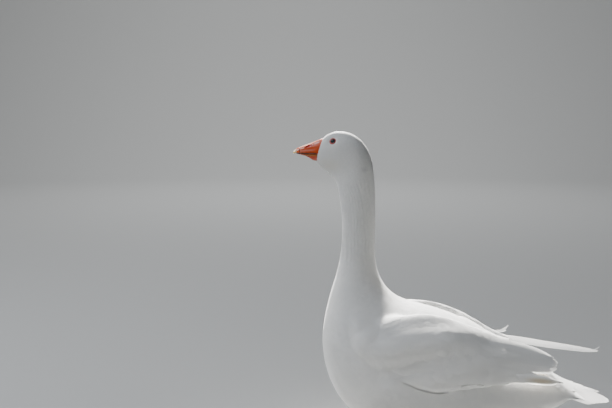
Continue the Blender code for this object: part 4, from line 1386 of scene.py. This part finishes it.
def blade_feathers(coat):
    """The far wing's primaries, which stick out behind as a narrow blade with a frayed tip."""
    line = np.array(BLADE_LINE)
    count = len(BLADE_TIPS)
    track = np.empty((count, len(QUILL.stops), 3))
    for k, end in enumerate(BLADE_TIPS):
        stations = np.array([row for row in line if row[0] < end - 0.012])
        last = [np.interp(end, line[:, 0], line[:, axis]) for axis in range(3)]
        stations = np.vstack([stations, last])
        stations[:, 1] += 0.0010 * k * np.linspace(1, 0.6, len(stations))
        stations[:, 2] += 0.0012 * (k - 1.5) * np.linspace(1, 0.35, len(stations))
        track[k] = curve_through(stations + [NECK_X, 0, 0], QUILL.stops)
    ups = np.broadcast_to(unit(np.array([0.05, -0.55, 0.83])), track.shape)
    heights = np.zeros(track.shape[:2]) + (np.arange(count) * -0.0005)[:, None]
    half = np.full(count, 0.0078)
    piece = coat.grow("blade_feathers", QUILL, track, ups, half, heights, tilt=-0.0006, ragged=0.05)
    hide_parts("primaries_right")

    track = np.array([
        curve_through(np.array(line) + [NECK_X, 0, 0], COVERT.stops) for line in LOOSE_FEATHERS
    ])
    ups = np.broadcast_to(unit(np.array([-0.2, -0.75, 0.60])), track.shape)
    heights, tone = np.zeros(track.shape[:2]), np.ones(len(track))
    coat.grow("loose_feathers", COVERT, track, ups, np.array(LOOSE_HALVES), heights, tone, ragged=0.3)


def tail_feathers(coat):
    """The fan of the tail, its middle feathers on top."""
    turns = np.linspace(-1, 1, TAIL_FEATHERS)
    turns = turns[np.argsort(-np.abs(turns))]
    track = np.empty((TAIL_FEATHERS, len(BROAD.stops), 3))
    for k, turn in enumerate(turns):
        end = np.interp(0.050 * turn, *np.array(TAIL_OUTLINE).T)
        x = TAIL_ROOT + (end - TAIL_ROOT) * BROAD.stops
        under = 0.0030 + 0.0035 * (1 - BROAD.stops) - 0.0025 * (1 - abs(turn))
        under = under + np.interp(x, *np.array(TAIL_DOME).T) * turn**2
        z = np.interp(x, *np.array(TAIL_TOP).T) - under
        track[k] = np.column_stack([x + NECK_X, (0.024 + 0.026 * BROAD.stops) * turn, z])
    track[:, 1:-1, 2] = (track[:, :-2, 2] + 2 * track[:, 1:-1, 2] + track[:, 2:, 2]) / 4
    facing = np.column_stack([np.full(TAIL_FEATHERS, 0.36), 0.25 * turns, np.ones(TAIL_FEATHERS)])
    ups = np.broadcast_to(unit(facing)[:, None], track.shape)
    half = 0.0135 * DICE.uniform(0.95, 1.05, TAIL_FEATHERS)
    coat.grow("tail_feathers", BROAD, track, ups, half, np.zeros(track.shape[:2]), ragged=0.04)


# ---- Camera, floor and lights ----
def make_camera():
    data = bpy.data.cameras.new("camera")
    data.lens, data.sensor_width = LENS, SENSOR
    camera = add("camera", data)
    camera.location = place(*CAMERA_AT)
    camera.rotation_euler = [math.radians(angle) for angle in CAMERA_TURN]
    bpy.context.scene.camera = camera


def make_floor():
    """A pale floor that curves up into a pale wall all round."""
    floor = primitive(
        "floor", bpy.ops.mesh.primitive_circle_add, vertices=96, radius=FLOOR_RADIUS, fill_type="NGON"
    )
    with editing():
        for k in range(WALL_STEPS):
            a, b = math.pi / 2 * k / WALL_STEPS, math.pi / 2 * (k + 1) / WALL_STEPS
            out = WALL_BEND * (math.sin(b) - math.sin(a))
            up = WALL_BEND * (math.cos(a) - math.cos(b))
            radius = FLOOR_RADIUS + WALL_BEND * math.sin(a)
            bpy.ops.mesh.extrude_region_move(TRANSFORM_OT_translate={"value": (0, 0, up)})
            grow = (radius + out) / radius
            bpy.ops.transform.resize(value=(grow, grow, 1))
        rest = (0, 0, WALL_HEIGHT - WALL_BEND)
        bpy.ops.mesh.extrude_region_move(TRANSFORM_OT_translate={"value": rest})
        bpy.ops.mesh.delete(type="ONLY_FACE")
    floor.data.shade_smooth()
    made, _, _ = new_material("pale_floor", FLOOR_GREY, {"Roughness": 0.9})
    floor.data.materials.append(made)


def add_light(name, kind, spot, target, power, colour, **settings):
    """A light at a spot, turned to its target."""
    data = bpy.data.lights.new(name, kind)
    data.energy, data.color = power, colour
    for setting, value in settings.items():
        setattr(data, setting, value)
    light = add(name, data)
    light.location = spot
    light.rotation_euler = (Vector(target) - light.location).to_track_quat("-Z", "Y").to_euler()


def make_lights():
    for name, (spot, target, cone, power) in SPOTS.items():
        add_light(
            name, "SPOT", place(*spot), place(*target), power, SUN_COLOUR,
            spot_size=math.radians(cone), spot_blend=0.5, shadow_soft_size=0.22,
        )
    for name, (spot, target, size, power, colour) in DISCS.items():
        add_light(name, "AREA", spot, target, power, colour, shape="DISK", size=size)
    world = bpy.data.worlds.new("pale_room")
    world.use_nodes = True
    room = world.node_tree.nodes["Background"]
    room.inputs["Color"].default_value = ROOM_COLOUR
    room.inputs["Strength"].default_value = ROOM_LIGHT
    bpy.context.scene.world = world


def main():
    make_camera()
    make_floor()
    make_lights()
    feather = plumage_material("feathers", True)
    skin_piece, whole = make_skin()
    paint(skin_piece, plumage_colour(points_of(skin_piece)))
    finish_piece(skin_piece, plumage_material("feathered_skin", False))
    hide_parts(*FLESH)
    coat = Coat(Surface(skin_piece), whole, feather)
    cover_body(coat)
    for name, side in SIDES.items():
        wing_feathers(name, side, coat)
        flank_feathers(name, side, coat)
    near_primaries(coat)
    mantle_feathers(coat)
    blade_feathers(coat)
    tail_feathers(coat)
    make_bill()
    make_eyes()
    make_legs()
    thin_out(skin_piece, SKIN_TRIANGLES)


main()
